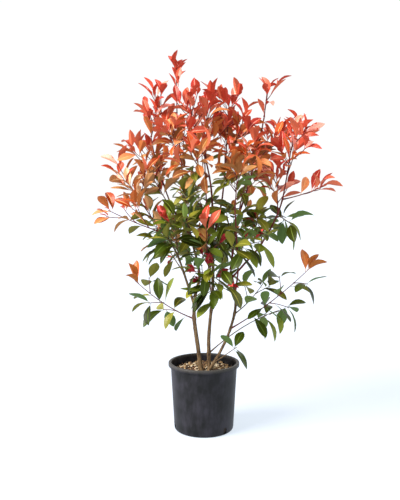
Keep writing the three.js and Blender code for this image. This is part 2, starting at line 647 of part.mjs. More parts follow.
// The pot: a thin wall that widens upwards, with a turned-down lip and arched drain notches
function potGeometry() {
  const lipInside = RIM_RADIUS - WALL;
  const lipFoot = POT_HEIGHT - LIP_DROP;
  const profile = [
    [0, 0],
    [FOOT_RADIUS - 8, 0],
    [FOOT_RADIUS - 2, 3.5],
    [FOOT_RADIUS, 12],
    [WALL_TOP - 0.4, POT_HEIGHT - 6],
    [lipInside - 1.5, POT_HEIGHT - 5],
    [lipInside, POT_HEIGHT - 6.5],
    [lipInside, lipFoot],
    [RIM_RADIUS, lipFoot],
    [RIM_RADIUS, POT_HEIGHT - 3],
    [RIM_RADIUS - 2.4, POT_HEIGHT],
    [WALL_TOP - 1, POT_HEIGHT],
    [inside(POT_HEIGHT - 4), POT_HEIGHT - 4],
    [inside(12), 12],
    [inside(12) - 7, WALL + 0.5],
    [0, WALL + 0.5],
  ];
  const shell = new THREE.LatheGeometry(
    profile.map(([r, z]) => new THREE.Vector2(r, z)),
    POT_SIDES,
  ).rotateX(Math.PI / 2);
  let pot = solidOf(shell);
  if (pot.volume() < 0) throw new Error("the pot's profile runs the wrong way round");
  for (let i = 0; i < DRAIN_COUNT; i++) {
    const angle = FIRST_DRAIN_DEG + (360 * i) / DRAIN_COUNT;
    pot = pot.subtract(drainNotch(THREE.MathUtils.degToRad(angle)));
  }
  return geometryOf(pot);
}

// An arched notch through the wall just above the foot
function drainNotch(angle) {
  const arch = new THREE.Shape();
  const half = DRAIN_WIDTH / 2;
  arch.moveTo(-half, 0);
  arch.lineTo(half, 0);
  arch.lineTo(half, DRAIN_HEIGHT - half);
  arch.absarc(0, DRAIN_HEIGHT - half, half, 0, Math.PI, false);
  const depth = 6 * WALL;
  const notch = new THREE.ExtrudeGeometry(arch, { depth, bevelEnabled: false, curveSegments: 5 });
  notch.rotateX(Math.PI / 2).rotateZ(Math.PI / 2);
  notch.translate(FOOT_RADIUS - 0.7 * depth, 0, DRAIN_FOOT).rotateZ(angle);
  return solidOf(notch);
}

// The potting mix fills the pot. Its top is level up to this share of its radius and then falls.
const LEVEL_SHARE = 0.7;

// The mix, with bark nuggets half sunk in its top, clear of the stems
function mixGeometry(limbs) {
  const space = (z) => inside(z) - 2 * GAP;
  const edge = GROUND - GROUND_FALL;
  const flat = LEVEL_SHARE * space(edge);
  const profile = [
    [0, WALL + 0.5 + GAP],
    [space(12) - 8, WALL + 0.5 + GAP],
    [space(12), 13],
    [space(edge), edge],
    [flat, GROUND],
    [0, GROUND],
  ];
  const plug = new THREE.LatheGeometry(
    profile.map(([r, z]) => new THREE.Vector2(r, z)),
    POT_SIDES,
  ).rotateX(Math.PI / 2);
  const parts = [solidOf(plug)];
  for (let i = 0; i < NUGGET_COUNT; i++) {
    const nugget = nuggetSolid(i, space(edge) - 1.2 * NUGGET_RADIUS, limbs);
    if (nugget) parts.push(nugget);
  }
  let mix = wasm.Manifold.union(parts);
  for (const name of STEMS) {
    mix = mix.subtract(limbs[name].solid(GAP));
  }
  return geometryOf(largestPiece(mix));
}

// Nugget number i, dealt out over the ground in a sunflower's spiral
function nuggetSolid(i, reach, limbs) {
  const radius = reach * Math.sqrt((i + 0.5) / NUGGET_COUNT);
  const angle = i * GOLDEN_ANGLE;
  const place = new THREE.Vector3(radius * Math.cos(angle), radius * Math.sin(angle), GROUND);
  place.z -= (GROUND_FALL * Math.max(0, radius / reach - LEVEL_SHARE)) / (1 - LEVEL_SHARE);
  const size = NUGGET_RADIUS * between(0.75, 1.25, chance(i, 9));
  const feet = STEMS.map((name) => limbs[name].curve.getPointAt(0));
  if (feet.some((foot) => foot.distanceTo(place) < BARE_ROUND_STEM + size)) return null;
  const nugget = new THREE.OctahedronGeometry(size);
  nugget.scale(1, between(0.6, 0.9, chance(i, 10)), 0.55);
  nugget.rotateX(0.5 * (chance(i, 11) - 0.5)).rotateZ(2 * Math.PI * chance(i, 12));
  nugget.translate(place.x, place.y, place.z + 0.12 * size);
  return solidOf(nugget);
}

function mesh(name, geometry, colour, roughness) {
  const material = new THREE.MeshStandardMaterial({ color: colour, roughness, metalness: 0 });
  const made = new THREE.Mesh(geometry, material);
  made.name = name;
  return made;
}

// A spray's usual leaf colour, from old green through bronze to the newest coral red
function leafColour({ young }) {
  const stages = [0x3f6b26, 0x6d7a2c, 0xb0602a, 0xd9533a].map((c) => new THREE.Color(c));
  const place = (0.35 * young[0] + 0.65 * young[1]) * (stages.length - 1);
  const stage = Math.min(stages.length - 2, Math.floor(place));
  return stages[stage].clone().lerp(stages[stage + 1], place - stage);
}

const photinia = new THREE.Group();
const limbs = growLimbs();
photinia.add(mesh("pot", potGeometry(), PLASTIC, 0.45));
photinia.add(mesh("potting_mix", mixGeometry(limbs), MULCH, 0.95));

const made = [];
for (const [name, limb] of Object.entries(limbs)) {
  let solid = limb.solid(0);
  for (const other of made) {
    const inflated = other.solid(GAP);
    if (!solid.intersect(inflated).isEmpty()) solid = solid.subtract(inflated);
  }
  made.push(limb);
  photinia.add(mesh(name, geometryOf(largestPiece(solid)), limb.bark, 0.8));
}

let leafCount = 0;
for (const grown of growSprays(limbs)) {
  leafCount += grown.leaves.length;
  const solid = spraySolid(grown, limbs);
  photinia.add(mesh(grown.spray.name, geometryOf(solid), leafColour(grown.spray), 0.5));
}
console.log(`${leafCount} leaves`);

export default photinia;
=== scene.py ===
# %% [markdown]
# # A potted red robin photinia
#
# The real object is an evergreen shrub, nearly 1.4 m tall, in a black nursery pot. Three bare
# stems rise from bark mulch and fork into long thin boughs. Every bough ends in sprays of
# leathery leaves: dark green where they are old, bronze and orange above, scarlet at the tips.
#
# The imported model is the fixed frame. It holds the pot, the stems and one plain solid for each
# spray. Here each of them is replaced by a finely made surface in the same place.

# %% Load the frame
import math

import bpy
import numpy as np
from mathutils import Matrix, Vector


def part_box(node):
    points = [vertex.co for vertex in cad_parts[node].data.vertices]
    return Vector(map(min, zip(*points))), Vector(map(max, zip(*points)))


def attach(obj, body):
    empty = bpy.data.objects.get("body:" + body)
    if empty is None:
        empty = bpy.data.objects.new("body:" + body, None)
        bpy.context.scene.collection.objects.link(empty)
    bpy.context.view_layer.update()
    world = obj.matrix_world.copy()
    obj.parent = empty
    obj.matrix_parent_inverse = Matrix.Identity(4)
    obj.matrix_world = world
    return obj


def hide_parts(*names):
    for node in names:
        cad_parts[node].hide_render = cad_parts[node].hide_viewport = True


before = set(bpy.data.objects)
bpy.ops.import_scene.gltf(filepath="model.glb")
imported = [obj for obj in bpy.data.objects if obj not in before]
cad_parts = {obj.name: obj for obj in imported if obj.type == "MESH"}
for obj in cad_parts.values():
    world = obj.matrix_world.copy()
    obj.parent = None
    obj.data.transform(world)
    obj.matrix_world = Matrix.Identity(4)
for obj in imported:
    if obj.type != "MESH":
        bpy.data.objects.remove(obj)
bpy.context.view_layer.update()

# %% [markdown]
# The plant's own numbers are in millimetres, as a grower would measure it, and the scene is in
# metres. Most pieces here are tubes in a wide sense: rings of points one behind another, closed
# by a point at each end. A twig, a bough, a pot turned about its axis, a chip of bark and even
# a leaf can be told that way, so one function numbers the corners of all their faces. The rings
# run anticlockwise about the direction in which they follow one another, which makes every face
# point outwards.

# %% Helpers for meshes
MM = 0.001


def tube_faces(count, rings, sides):
    """Corner numbers of count closed tubes. Each tube's points are its rings in order, then the
    point that closes its foot and the one that closes its tip. Gives quads and triangles."""
    i, j = np.meshgrid(np.arange(rings - 1), np.arange(sides), indexing="ij")
    k = (j + 1) % sides
    quads = np.stack([i * sides + j, i * sides + k, (i + 1) * sides + k, (i + 1) * sides + j], -1)
    j = np.arange(sides)
    k = (j + 1) % sides
    foot = np.full(sides, rings * sides)
    top_ring = (rings - 1) * sides
    closing_foot = np.stack([foot, k, j], -1)
    closing_tip = np.stack([foot + 1, top_ring + j, top_ring + k], -1)
    triangles = np.concatenate([closing_foot, closing_tip])
    first = np.arange(count)[:, None, None] * (rings * sides + 2)
    return (quads.reshape(-1, 4) + first).reshape(-1, 4), (triangles + first).reshape(-1, 3)


def tube_points(rings, foot, tip):
    """Points of tubes in the order that tube_faces counts them. rings is (tubes, rings, sides, 3)
    and foot and tip are (tubes, 3)."""
    count = len(rings)
    return np.concatenate([rings.reshape(count, -1, 3), foot[:, None], tip[:, None]], axis=1)


def new_piece(name, points_mm, faces, materials, kinds=None, sharp_deg=None):
    """A mesh object at the origin, from points and (quads, triangles). kinds gives each face's
    material number, and an edge that turns by more than sharp_deg keeps a crisp line."""
    quads, triangles = faces
    mesh = bpy.data.meshes.new(name)
    points = np.ascontiguousarray(points_mm, np.float32).reshape(-1, 3) * MM
    corners = np.concatenate([quads.ravel(), triangles.ravel()]).astype(np.int32)
    starts = np.concatenate([np.arange(len(quads)) * 4, quads.size + np.arange(len(triangles)) * 3])
    mesh.vertices.add(len(points))
    mesh.vertices.foreach_set("co", points.ravel())
    mesh.loops.add(len(corners))
    mesh.loops.foreach_set("vertex_index", corners)
    mesh.polygons.add(len(starts))
    mesh.polygons.foreach_set("loop_start", starts.astype(np.int32))
    for material in materials:
        mesh.materials.append(material)
    if kinds is not None:
        mesh.polygons.foreach_set("material_index", np.ascontiguousarray(kinds, np.int32))
    mesh.polygons.foreach_set("use_smooth", np.ones(len(starts), bool))
    mesh.update(calc_edges=True)
    mesh.validate()
    if sharp_deg:
        mesh.set_sharp_from_angle(angle=math.radians(sharp_deg))
    piece = bpy.data.objects.new(name, mesh)
    bpy.context.scene.collection.objects.link(piece)
    print(f"{name}: {len(points)} points, {len(mesh.polygons)} faces")
    return piece


def settle(piece, nodes):
    """Puts a finished piece in the plant's one body, in place of CAD nodes."""
    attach(piece, "root")
    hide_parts(*nodes)


test_quads, test_triangles = tube_faces(1, 2, 6)
print("a short tube:", len(test_quads), "quads and", len(test_triangles), "triangles")

# %% [markdown]
# A material is one Principled shader, fed by nodes where its surface has a pattern. Noise has
# about one grain to each unit, so a pattern's scale is one over the real size of its grains.

# %% Helpers for materials
def linear(hex_colour):
    """Each sRGB channel c is c/12.92 up to 0.04045, and ((c + 0.055)/1.055)^2.4 above."""
    srgb = np.array([int(hex_colour[i : i + 2], 16) for i in (0, 2, 4)]) / 255
    low = srgb / 12.92
    high = ((srgb + 0.055) / 1.055) ** 2.4
    return (*np.where(srgb <= 0.04045, low, high), 1.0)


def new_material(name, **sockets):
    """A material with one Principled shader, whose sockets are set by name."""
    material = bpy.data.materials.new(name)
    material.use_nodes = True
    shader = material.node_tree.nodes["Principled BSDF"]
    for socket, value in sockets.items():
        shader.inputs[socket.replace("_", " ")].default_value = value
    return material


def add(material, kind, settings=None, links=None):
    """Adds a node to a material. settings are its properties or, by name or number, its
    sockets' values, and links are sockets with the output that feeds each."""
    node = material.node_tree.nodes.new(kind)
    for key, value in (settings or {}).items():
        if isinstance(key, str) and hasattr(node, key):
            setattr(node, key, value)
        else:
            node.inputs[key].default_value = value
    for key, output in (links or {}).items():
        material.node_tree.links.new(output, node.inputs[key])
    return node


def feed(material, socket, output):
    """Links a node's output to the Principled shader."""
    shader = material.node_tree.nodes["Principled BSDF"]
    material.node_tree.links.new(output, shader.inputs[socket])


print("mid grey:", [round(float(v), 3) for v in linear("808080")])

# %% [markdown]
# ## How the shrub grows
#
# The sprays were grown by a rule with seeded luck, and the finished plant has to grow the same
# way, so the rule is written out again here. Luck is a hash of small whole numbers: the same
# spray, twig and leaf always draw the same share, whatever grew before them. The last number of
# a draw stands for what is drawn, such as a turn or a length.

# %% Seeded luck
SEED = 38
GOLDEN_ANGLE = math.radians(137.5)
UP = np.array([0.0, 0.0, 1.0])


def chance(*keys):
    """Mixes the keys into a 32-bit number by multiplying and folding, and scales it to 0..1."""
    h = SEED
    for key in keys:
        h = ((h ^ (key + 1)) * 0x9E3779B1) & 0xFFFFFFFF
        h ^= h >> 15
        h = (h * 0x85EBCA77) & 0xFFFFFFFF
        h ^= h >> 13
    return h / 2**32


def between(low, high, share):
    """The value that lies a share of the way from low to high."""
    return low + (high - low) * share


def unit(v):
    """A vector, or each row of an array of vectors, divided by its length."""
    return v / np.linalg.norm(v, axis=-1, keepdims=True)


def across_from(axis):
    """A direction square to an axis: level, unless the axis is upright."""
    level = UP if abs(axis[2]) < 0.95 else np.array([1.0, 0.0, 0.0])
    return unit(np.cross(axis, level))


def turned(v, axis, angle):
    """v turned about an axis: v cos + (axis x v) sin + axis (axis . v)(1 - cos)."""
    c, s = math.cos(angle), math.sin(angle)
    return v * c + np.cross(axis, v) * s + axis * np.dot(axis, v) * (1 - c)


print("first draws:", [round(chance(i), 3) for i in range(4)])

# %% [markdown]
# A stem or bough is a smooth curve through the few points where the real one bends. The curve
# is a centripetal Catmull-Rom spline, which passes through its points and doesn't overshoot
# where they lie close together. Each limb names the limb that carries it, how far along that
# limb it leaves, and its radius at the foot and at the tip.

# %% The limbs
GROUND = 224
ROOT_FLARE = 0.45
FLARE_SHARE = 0.05
STRETCH = 56

LIMBS = {
    "left_stem": dict(
        on=None, foot=8.2, tip=6.2, bark="stem_bark",
        through=[(-10, -30, GROUND), (-24, -31, 330), (-36, -34, 425), (-34, -35, 500)],
    ),
    "middle_stem": dict(
        on=None, foot=6.8, tip=4.4, bark="stem_bark",
        through=[(20, -30, GROUND), (18, -22, 355), (30, -12, 490), (34, 0, 640), (32, 4, 790)],
    ),
    "right_stem": dict(
        on=None, foot=5.3, tip=4.4, bark="stem_bark",
        through=[(11, -62, GROUND), (52, -50, 290), (95, -45, 385), (115, -37, 480), (97, -22, 600)],
    ),
    "left_outer_bough": dict(
        on=("left_stem", 0.9), foot=4.8, tip=2.8, bark="stem_bark",
        through=[(-56, -46, 540), (-97, -70, 664), (-137, -90, 738)],
    ),
    "left_inner_bough": dict(
        on=("left_stem", 1), foot=5.4, tip=3.8, bark="stem_bark",
        through=[(-17, -12, 580), (-38, 14, 680), (-62, 26, 775)],
    ),
    "right_leader": dict(
        on=("right_stem", 1), foot=4.4, tip=2.3, bark="young_bark",
        through=[(120, -5, 770), (165, 0, 920), (203, 0, 1080), (216, 0, 1150)],
    ),
    "right_outer_bough": dict(
        on=("right_stem", 0.93), foot=3.9, tip=2.1, bark="young_bark",
        through=[(145, -32, 622), (205, -41, 695), (268, -52, 820), (292, -60, 935), (305, -60, 1030)],
    ),
    "left_leader": dict(
        on=("left_inner_bough", 0.78), foot=3.2, tip=1.9, bark="young_bark",
        through=[(-117, 18, 830), (-152, 12, 925), (-178, 10, 1010), (-192, 10, 1080)],
    ),
    "tall_leader": dict(
        on=("left_inner_bough", 1), foot=3.6, tip=2, bark="young_bark",
        through=[(-72, 30, 880), (-84, 31, 1000), (-98, 30, 1150)],
    ),
    "front_leader": dict(
        on=("middle_stem", 1), foot=4, tip=2, bark="young_bark",
        through=[(26, -32, 890), (4, -62, 1000), (-30, -78, 1080)],
    ),
    "centre_leader": dict(
        on=("middle_stem", 0.86), foot=3.6, tip=2, bark="young_bark",
        through=[(64, 24, 840), (78, 38, 970), (88, 52, 1140)],
    ),
    "back_leader": dict(
        on=("middle_stem", 0.62), foot=3.8, tip=2.1, bark="young_bark",
        through=[(28, 70, 680), (12, 130, 820), (4, 160, 990)],
    ),
    "back_right_bough": dict(
        on=("right_leader", 0.12), foot=3.2, tip=2.1, bark="young_bark",
        through=[(120, 50, 740), (138, 110, 830), (160, 130, 920)],
    ),
    "front_right_bough": dict(
        on=("right_stem", 0.78), foot=3.4, tip=2.2, bark="young_bark",
        through=[(120, -90, 610), (112, -135, 720), (104, -160, 830)],
    ),
}


class Spline:
    """A centripetal Catmull-Rom curve, read by its share of length. On the stretch from p1 to p2
    a cubic starts and ends with slopes that weigh each side by the fourth root of its squared
    length, and a table of 200 chords turns a share of length into the curve's own parameter."""

    CHORDS = 200

    def __init__(self, points):
        points = np.array(points, float)
        first = 2 * points[0] - points[1]
        last = 2 * points[-1] - points[-2]
        self.points = np.vstack([first, points, last])
        self.marks = np.linspace(0, 1, self.CHORDS + 1)
        chords = np.linalg.norm(np.diff(self.raw(self.marks), axis=0), axis=1)
        self.lengths = np.concatenate([[0], np.cumsum(chords)])
        self.length = self.lengths[-1]

    def raw(self, t):
        """Points at the curve's own parameter t, from 0 to 1."""
        stretches = len(self.points) - 3
        place = np.clip(np.atleast_1d(t), 0, 1) * stretches
        i = np.minimum(place.astype(int), stretches - 1)
        w = (place - i)[:, None]
        p0, p1, p2, p3 = (self.points[i + k] for k in range(4))
        d0, d1, d2 = (
            np.sum((b - a) ** 2, axis=1, keepdims=True) ** 0.25
            for a, b in ((p0, p1), (p1, p2), (p2, p3))
        )
        slope1 = ((p1 - p0) / d0 - (p2 - p0) / (d0 + d1) + (p2 - p1) / d1) * d1
        slope2 = ((p2 - p1) / d1 - (p3 - p1) / (d1 + d2) + (p3 - p2) / d2) * d1
        c2 = -3 * p1 + 3 * p2 - 2 * slope1 - slope2
        c3 = 2 * p1 - 2 * p2 + slope1 + slope2
        return p1 + slope1 * w + c2 * w**2 + c3 * w**3

    def at(self, share):
        """Points at shares of the length. One share gives one point."""
        parameter = np.interp(np.asarray(share) * self.length, self.lengths, self.marks)
        points = self.raw(parameter)
        return points if np.ndim(share) else points[0]


def grow_limbs():
    """Every limb's curve, its radii and its number of straight stretches."""
    limbs = {}
    for name, plan in LIMBS.items():
        points = list(plan["through"])
        if plan["on"]:
            carrier, share = plan["on"]
            points.insert(0, limbs[carrier]["curve"].at(share))
        curve = Spline(points)
        limbs[name] = dict(curve=curve, plan=plan, steps=math.floor(curve.length / STRETCH + 0.5))
    return limbs


def limb_radius(plan, share):
    """An even taper, times 1 + flare exp(-share/flare share) on the stems that meet the ground."""
    flare = 0 if plan["on"] else ROOT_FLARE
    taper = between(plan["foot"], plan["tip"], share)
    return taper * (1 + flare * np.exp(-np.asarray(share) / FLARE_SHARE))


limbs = grow_limbs()
print("limbs:", {name: round(limb["curve"].length) for name, limb in limbs.items()})

# %% [markdown]
# A spray is one main twig with a few side twigs, in turn round it by the golden angle, and leaves
# in turn round each twig. Old leaves near the foot stand out and droop, and young ones at the tip
# point up. Each spray says where it sits on its limb, where its tip reaches, and how old its
# leaves are at the foot and at the tip.

# %% The sprays
ROSETTE = 3


def spray(
    name, on, tip, side, reach, bare, young, bow,
    side_young=None, rosette=ROSETTE, slender=1, luck=0,
):
    """One spray's plan: the limb and the share of it where the spray sits, its tip, how many side
    twigs it has and their reach, the leafless share of its main twig, its age at foot and tip,
    and its sag. side_young is the age at the tips of its side twigs, and rosette the number of
    leaves round its tip. slender says how far its red leaves are still smaller and slimmer than
    green ones, and luck draws another arrangement."""
    return dict(
        name=name, on=on, tip=tip, side=side, reach=reach, bare=bare, young=young, bow=bow,
        side_young=young[1] if side_young is None else side_young,
        rosette=rosette, slender=slender, luck=luck,
    )


SPRAYS = [
    spray("left_low_spray", ("left_outer_bough", 1), (-330, -96, 817),
          3, 80, 0.12, (0.4, 0.85), 0.02, rosette=4),
    spray("left_spray", ("left_outer_bough", 0.93), (-304, -62, 978),
          3, 80, 0.25, (0.5, 0.9), 0.04, rosette=4, luck=3),
    spray("left_orange_spray", ("left_leader", 0.22), (-231, -40, 1035),
          3, 95, 0.4, (0.5, 0.9), 0.06, luck=4),
    spray("left_top", ("left_leader", 1), (-177, 8, 1135),
          3, 65, 0.05, (0.85, 1), 0, luck=5),
    spray("left_leader_back", ("left_leader", 0.55), (-200, 120, 1040),
          2, 90, 0.3, (0.5, 0.95), 0.08),
    spray("thin_top", ("tall_leader", 0.8), (-184, 6, 1223),
          3, 60, 0.5, (0.8, 1), 0.05),
    spray("tall_top", ("tall_leader", 1), (-101, 30, 1324),
          0, 40, 0.6, (0.9, 1), 0, rosette=7),
    spray("tall_leader_front", ("tall_leader", 0.62), (-122, -84, 1090),
          3, 85, 0.25, (0.5, 0.95), 0.08),
    spray("tall_leader_back", ("tall_leader", 0.55), (-74, 150, 1120),
          2, 95, 0.3, (0.55, 1), 0.08),
    spray("centre_top", ("front_leader", 1), (-49, -84, 1180),
          3, 85, 0.1, (0.8, 1), 0.02, luck=5),
    spray("centre_spray", ("front_leader", 0.7), (10, -20, 1162),
          3, 90, 0.25, (0.7, 1), 0.04),
    spray("front_orange_spray", ("front_leader", 0.5), (-46, -190, 1015),
          3, 90, 0.25, (0.5, 0.9), 0.08),
    spray("right_centre_top", ("centre_leader", 1), (92, 50, 1196),
          2, 75, 0.1, (0.85, 1), 0, luck=3),
    spray("right_centre_spray", ("centre_leader", 0.68), (137, -44, 1129),
          3, 90, 0.2, (0.6, 1), 0.06, luck=4),
    spray("centre_leader_back", ("centre_leader", 0.55), (82, 160, 1100),
          2, 90, 0.3, (0.55, 0.95), 0.06),
    spray("right_tall_top", ("right_leader", 1), (225, 0, 1235),
          2, 70, 0.1, (0.85, 1), 0, rosette=4),
    spray("right_upper_spray", ("right_leader", 0.7), (280, 24, 1093),
          2, 75, 0.45, (0.7, 1), 0.02, luck=5),
    spray("right_inner_spray", ("right_leader", 0.55), (158, -110, 1021),
          3, 90, 0.2, (0.5, 0.85), 0.08),
    spray("right_leader_back", ("right_leader", 0.6), (206, 140, 1050),
          2, 90, 0.25, (0.5, 0.95), 0.06),
    spray("right_outer_top", ("right_outer_bough", 1), (323, -60, 1083),
          2, 70, 0.1, (0.8, 1), 0, luck=2),
    spray("right_outer_side", ("right_outer_bough", 0.84), (313, -110, 1024),
          2, 65, 0.25, (0.7, 1), 0.05, luck=5),
    spray("far_right_spray", ("right_outer_bough", 0.66), (417, -64, 901),
          2, 55, 0.45, (0.7, 1), 0.03, luck=3),
    spray("right_hanging_spray", ("right_outer_bough", 0.52), (291, -34, 793),
          2, 50, 0.1, (0, 0.1), -0.18, luck=1),
    spray("right_outer_back", ("right_outer_bough", 0.56), (264, 0, 933),
          3, 75, 0.2, (0.7, 1), 0, luck=5),
    spray("right_low_whorl", ("right_outer_bough", 0.32), (216, 40, 764),
          2, 60, 0.25, (0.05, 0.3), 0.04, luck=4),
    spray("low_left_spray", ("left_stem", 0.72), (-245, -52, 562),
          3, 65, 0.12, (0, 0.85), 0.06, side_young=0.1, rosette=6, slender=0.1),
    spray("low_right_spray", ("right_stem", 0.46), (377, -42, 604),
          4, 80, 0.28, (0, 0.85), 0.04, side_young=0, rosette=6, slender=0.1, luck=6),
    spray("lowest_right_spray", ("middle_stem", 0.12), (293, -20, 456),
          2, 60, 0.6, (0.05, 0.2), -0.07, luck=3),
    spray("right_inner_low_spray", ("right_stem", 0.6), (218, 40, 536),
          2, 75, 0.4, (0.05, 0.25), 0.06, luck=4),
    spray("left_fork_whorl", ("left_inner_bough", 0.12), (3, -100, 585),
          2, 70, 0.3, (0, 0.15), -0.06, luck=4),
    spray("left_green_spray", ("left_outer_bough", 0.62), (-100, -190, 800),
          3, 85, 0.2, (0.05, 0.3), 0.1, luck=1),
    spray("left_side_spray", ("left_outer_bough", 0.45), (-184, 20, 765),
          3, 55, 0.25, (0.1, 0.4), 0.03, luck=1),
    spray("left_back_spray", ("left_inner_bough", 0.5), (-120, 180, 760),
          3, 100, 0.25, (0.05, 0.3), 0.1),
    spray("left_inner_spray", ("left_inner_bough", 0.75), (-58, -110, 860),
          3, 90, 0.2, (0.1, 0.4), 0.1),
    spray("front_rosette", ("middle_stem", 0.5), (6, -196, 771),
          3, 90, 0.25, (0, 0.95), 0.2, side_young=0.1, rosette=6, luck=6),
    spray("front_low_spray", ("middle_stem", 0.4), (61, -150, 625),
          2, 90, 0.3, (0.05, 0.25), 0.06, luck=2),
    spray("front_right_spray", ("front_right_bough", 1), (110, -190, 940),
          3, 95, 0.1, (0.1, 0.7), 0.04),
    spray("front_right_low_spray", ("front_right_bough", 0.5), (140, -190, 730),
          2, 75, 0.2, (0.05, 0.3), 0.08, luck=4),
    spray("middle_spray", ("middle_stem", 0.8), (149, -60, 823),
          3, 85, 0.2, (0.05, 0.35), 0.08, luck=6),
    spray("back_top", ("back_leader", 1), (0, 170, 1090),
          3, 95, 0.1, (0.5, 0.95), 0.02),
    spray("back_spray", ("back_leader", 0.6), (-60, 240, 900),
          3, 100, 0.2, (0.1, 0.45), 0.1),
    spray("back_low_spray", ("back_leader", 0.3), (60, 200, 720),
          3, 100, 0.25, (0.05, 0.25), 0.1),
    spray("back_right_spray", ("back_right_bough", 1), (196, 190, 960),
          3, 95, 0.1, (0.2, 0.8), 0.04),
    spray("pot_side_sprig", ("right_stem", 0.12), (112, -100, 330),
          0, 40, 0.7, (0, 0), 0),
]

print(len(SPRAYS), "sprays")

# %% [markdown]
# A leaf is only kept where it has room. Round each leaf and each straight stretch of twig lies
# a slim box, and two boxes touch unless some direction shows a gap between them. The directions
# worth trying are the boxes' own axes and the directions square to an axis of each.

# %% Room to grow
CLEARANCE = 0.5


class Boxes:
    """Slim boxes in arrays that grow as needed: middles, three axes, half sizes and owners."""

    def __init__(self, room=8192):
        self.count = 0
        self.middle = np.zeros((room, 3))
        self.axes = np.zeros((room, 3, 3))
        self.half = np.zeros((room, 3))
        self.owner = np.zeros(room, int)

    def keep(self, box, owner):
        """Adds a box (middle, axes, half sizes) that belongs to an owner."""
        i = self.count
        self.middle[i], self.axes[i], self.half[i] = box
        self.owner[i] = owner
        self.count += 1

    def hit(self, box, passing=None):
        """Whether a box touches any kept one, apart from those of the owner it may pass."""
        middle, axes, half = box
        n = self.count
        away = self.middle[:n] - middle
        reach = np.linalg.norm(self.half[:n], axis=1) + np.linalg.norm(half) + CLEARANCE
        near = np.linalg.norm(away, axis=1) < reach
        if passing is not None:
            near &= self.owner[:n] != passing
        picked = np.flatnonzero(near)
        if not len(picked):
            return False
        theirs, away = self.axes[picked], away[picked]
        ours = np.broadcast_to(axes, theirs.shape)
        square = np.cross(ours[:, :, None, :], theirs[:, None, :, :]).reshape(-1, 9, 3)
        size = np.linalg.norm(square, axis=2, keepdims=True)
        square = np.where(size > 1e-3, square / np.maximum(size, 1e-9), 0)
        ways = np.concatenate([ours, theirs, square], axis=1)
        our_size = np.abs(np.einsum("nwk,nak->nwa", ways, ours)) @ half
        their_size = np.einsum(
            "nwa,na->nw", np.abs(np.einsum("nwk,nak->nwa", ways, theirs)), self.half[picked]
        )
        gap = np.abs(np.einsum("nwk,nk->nw", ways, away))
        apart = (gap >= our_size + their_size + CLEARANCE) & (np.abs(ways).sum(axis=2) > 0)
        return bool(np.any(~apart.any(axis=1)))


def box_along(start, end, radius):
    """The slim box round a straight stretch."""
    along = end - start
    length = np.linalg.norm(along)
    along = along / length
    across = across_from(along)
    axes = np.array([along, across, np.cross(across, along)])
    return (start + end) / 2, axes, np.array([length / 2, radius, radius])


upright, level = (box_along(5 * UP, 5 * UP + end, 1) for end in (10 * UP, np.array([10, 0, 0])))
test_room = Boxes(1)
test_room.keep(upright, 0)
print("two twigs that cross touch:", test_room.hit(level))

# %% [markdown]
# A twig is given by its two radii in millimetres and by how it leaves the main twig. Luck picks
# a value between the two of a pair. Where a pair depends on age, the old value comes first.

# %% Twigs of the frame's sprays
TWIG_FOOT = 2.3
TWIG_TIP = 1.3
BUD = 9
SIDE_TWIG_FOOT = 1.6
MAIN_STEPS = 3
SIDE_STEPS = 2
SIDE_FROM = 0.2
SIDE_TO = 0.9
SIDE_LEAN_DEG = (38, 58)
SIDE_LENGTH = (0.75, 1.2)
LENGTH_AT_FOOT_AND_TIP = (1.15, 0.75)
SIDE_LIFT = (-0.14, 0.22)
TRIES = 6
TWIG_TURN_ON = 0.8
LEAF_TURN_ON = 0.9


def bend(a, b, c, share):
    """A quadratic curve that starts at a, leans towards b and ends at c."""
    first = a + (b - a) * share
    second = b + (c - b) * share
    return first + (second - first) * share


class Twig:
    """A twig of a few straight stretches, with its radii and the boxes round it."""

    def __init__(self, start, lean, end, foot, tip, steps):
        self.start, self.lean, self.end = start, lean, end
        self.foot, self.tip, self.steps = foot, tip, steps
        self.corners = [bend(start, lean, end, i / steps) for i in range(steps + 1)]
        self.length = 0.0
        self.boxes = []
        for i in range(steps):
            a, b = self.corners[i], self.corners[i + 1]
            bud = unit(b - a) * BUD if i == steps - 1 else 0
            self.boxes.append(box_along(a, b + bud, self.radius(i / steps)))
            self.length += np.linalg.norm(b - a)

    def radius(self, share):
        """An even taper from foot to tip."""
        return between(self.foot, self.tip, share)

    def at(self, share):
        """The point and the direction at a share of the twig."""
        i = min(self.steps - 1, math.floor(share * self.steps))
        a, b = self.corners[i], self.corners[i + 1]
        return a + (b - a) * (share * self.steps - i), unit(b - a)


def main_twig(plan):
    """From the limb to the spray's tip, hung below the straight line by its bow."""
    carrier, share = plan["on"]
    start = limbs[carrier]["curve"].at(share)
    end = np.array(plan["tip"], float)
    lean = (start + end) / 2
    lean[2] -= 2 * plan["bow"] * np.linalg.norm(end - start)
    return Twig(start, lean, end, TWIG_FOOT, TWIG_TIP, MAIN_STEPS)


def side_twig(main, plan, own, i, attempt):
    """Leaves the main twig at 38 to 58 degrees, in turn round it. Young ones lift."""
    share = between(max(plan["bare"], SIDE_FROM), SIDE_TO, (i + 0.4) / plan["side"])
    point, way = main.at(share)
    turn = i * GOLDEN_ANGLE + 2 * math.pi * chance(own, 1) + attempt * TWIG_TURN_ON
    lean = math.radians(between(*SIDE_LEAN_DEG, chance(own, i, 2)))
    out = turned(across_from(way), way, turn)
    towards = way * math.cos(lean) + out * math.sin(lean)
    lucky = between(*SIDE_LENGTH, chance(own, i, 3))
    length = plan["reach"] * lucky * between(*LENGTH_AT_FOOT_AND_TIP, share)
    end = point + towards * length
    end[2] += length * between(*SIDE_LIFT, plan["side_young"])
    foot = min(SIDE_TWIG_FOOT, main.radius(share))
    return Twig(point, point + towards * length / 2, end, foot, TWIG_TIP, SIDE_STEPS)


print("longest main twig:", round(max(main_twig(plan).length for plan in SPRAYS)), "mm")

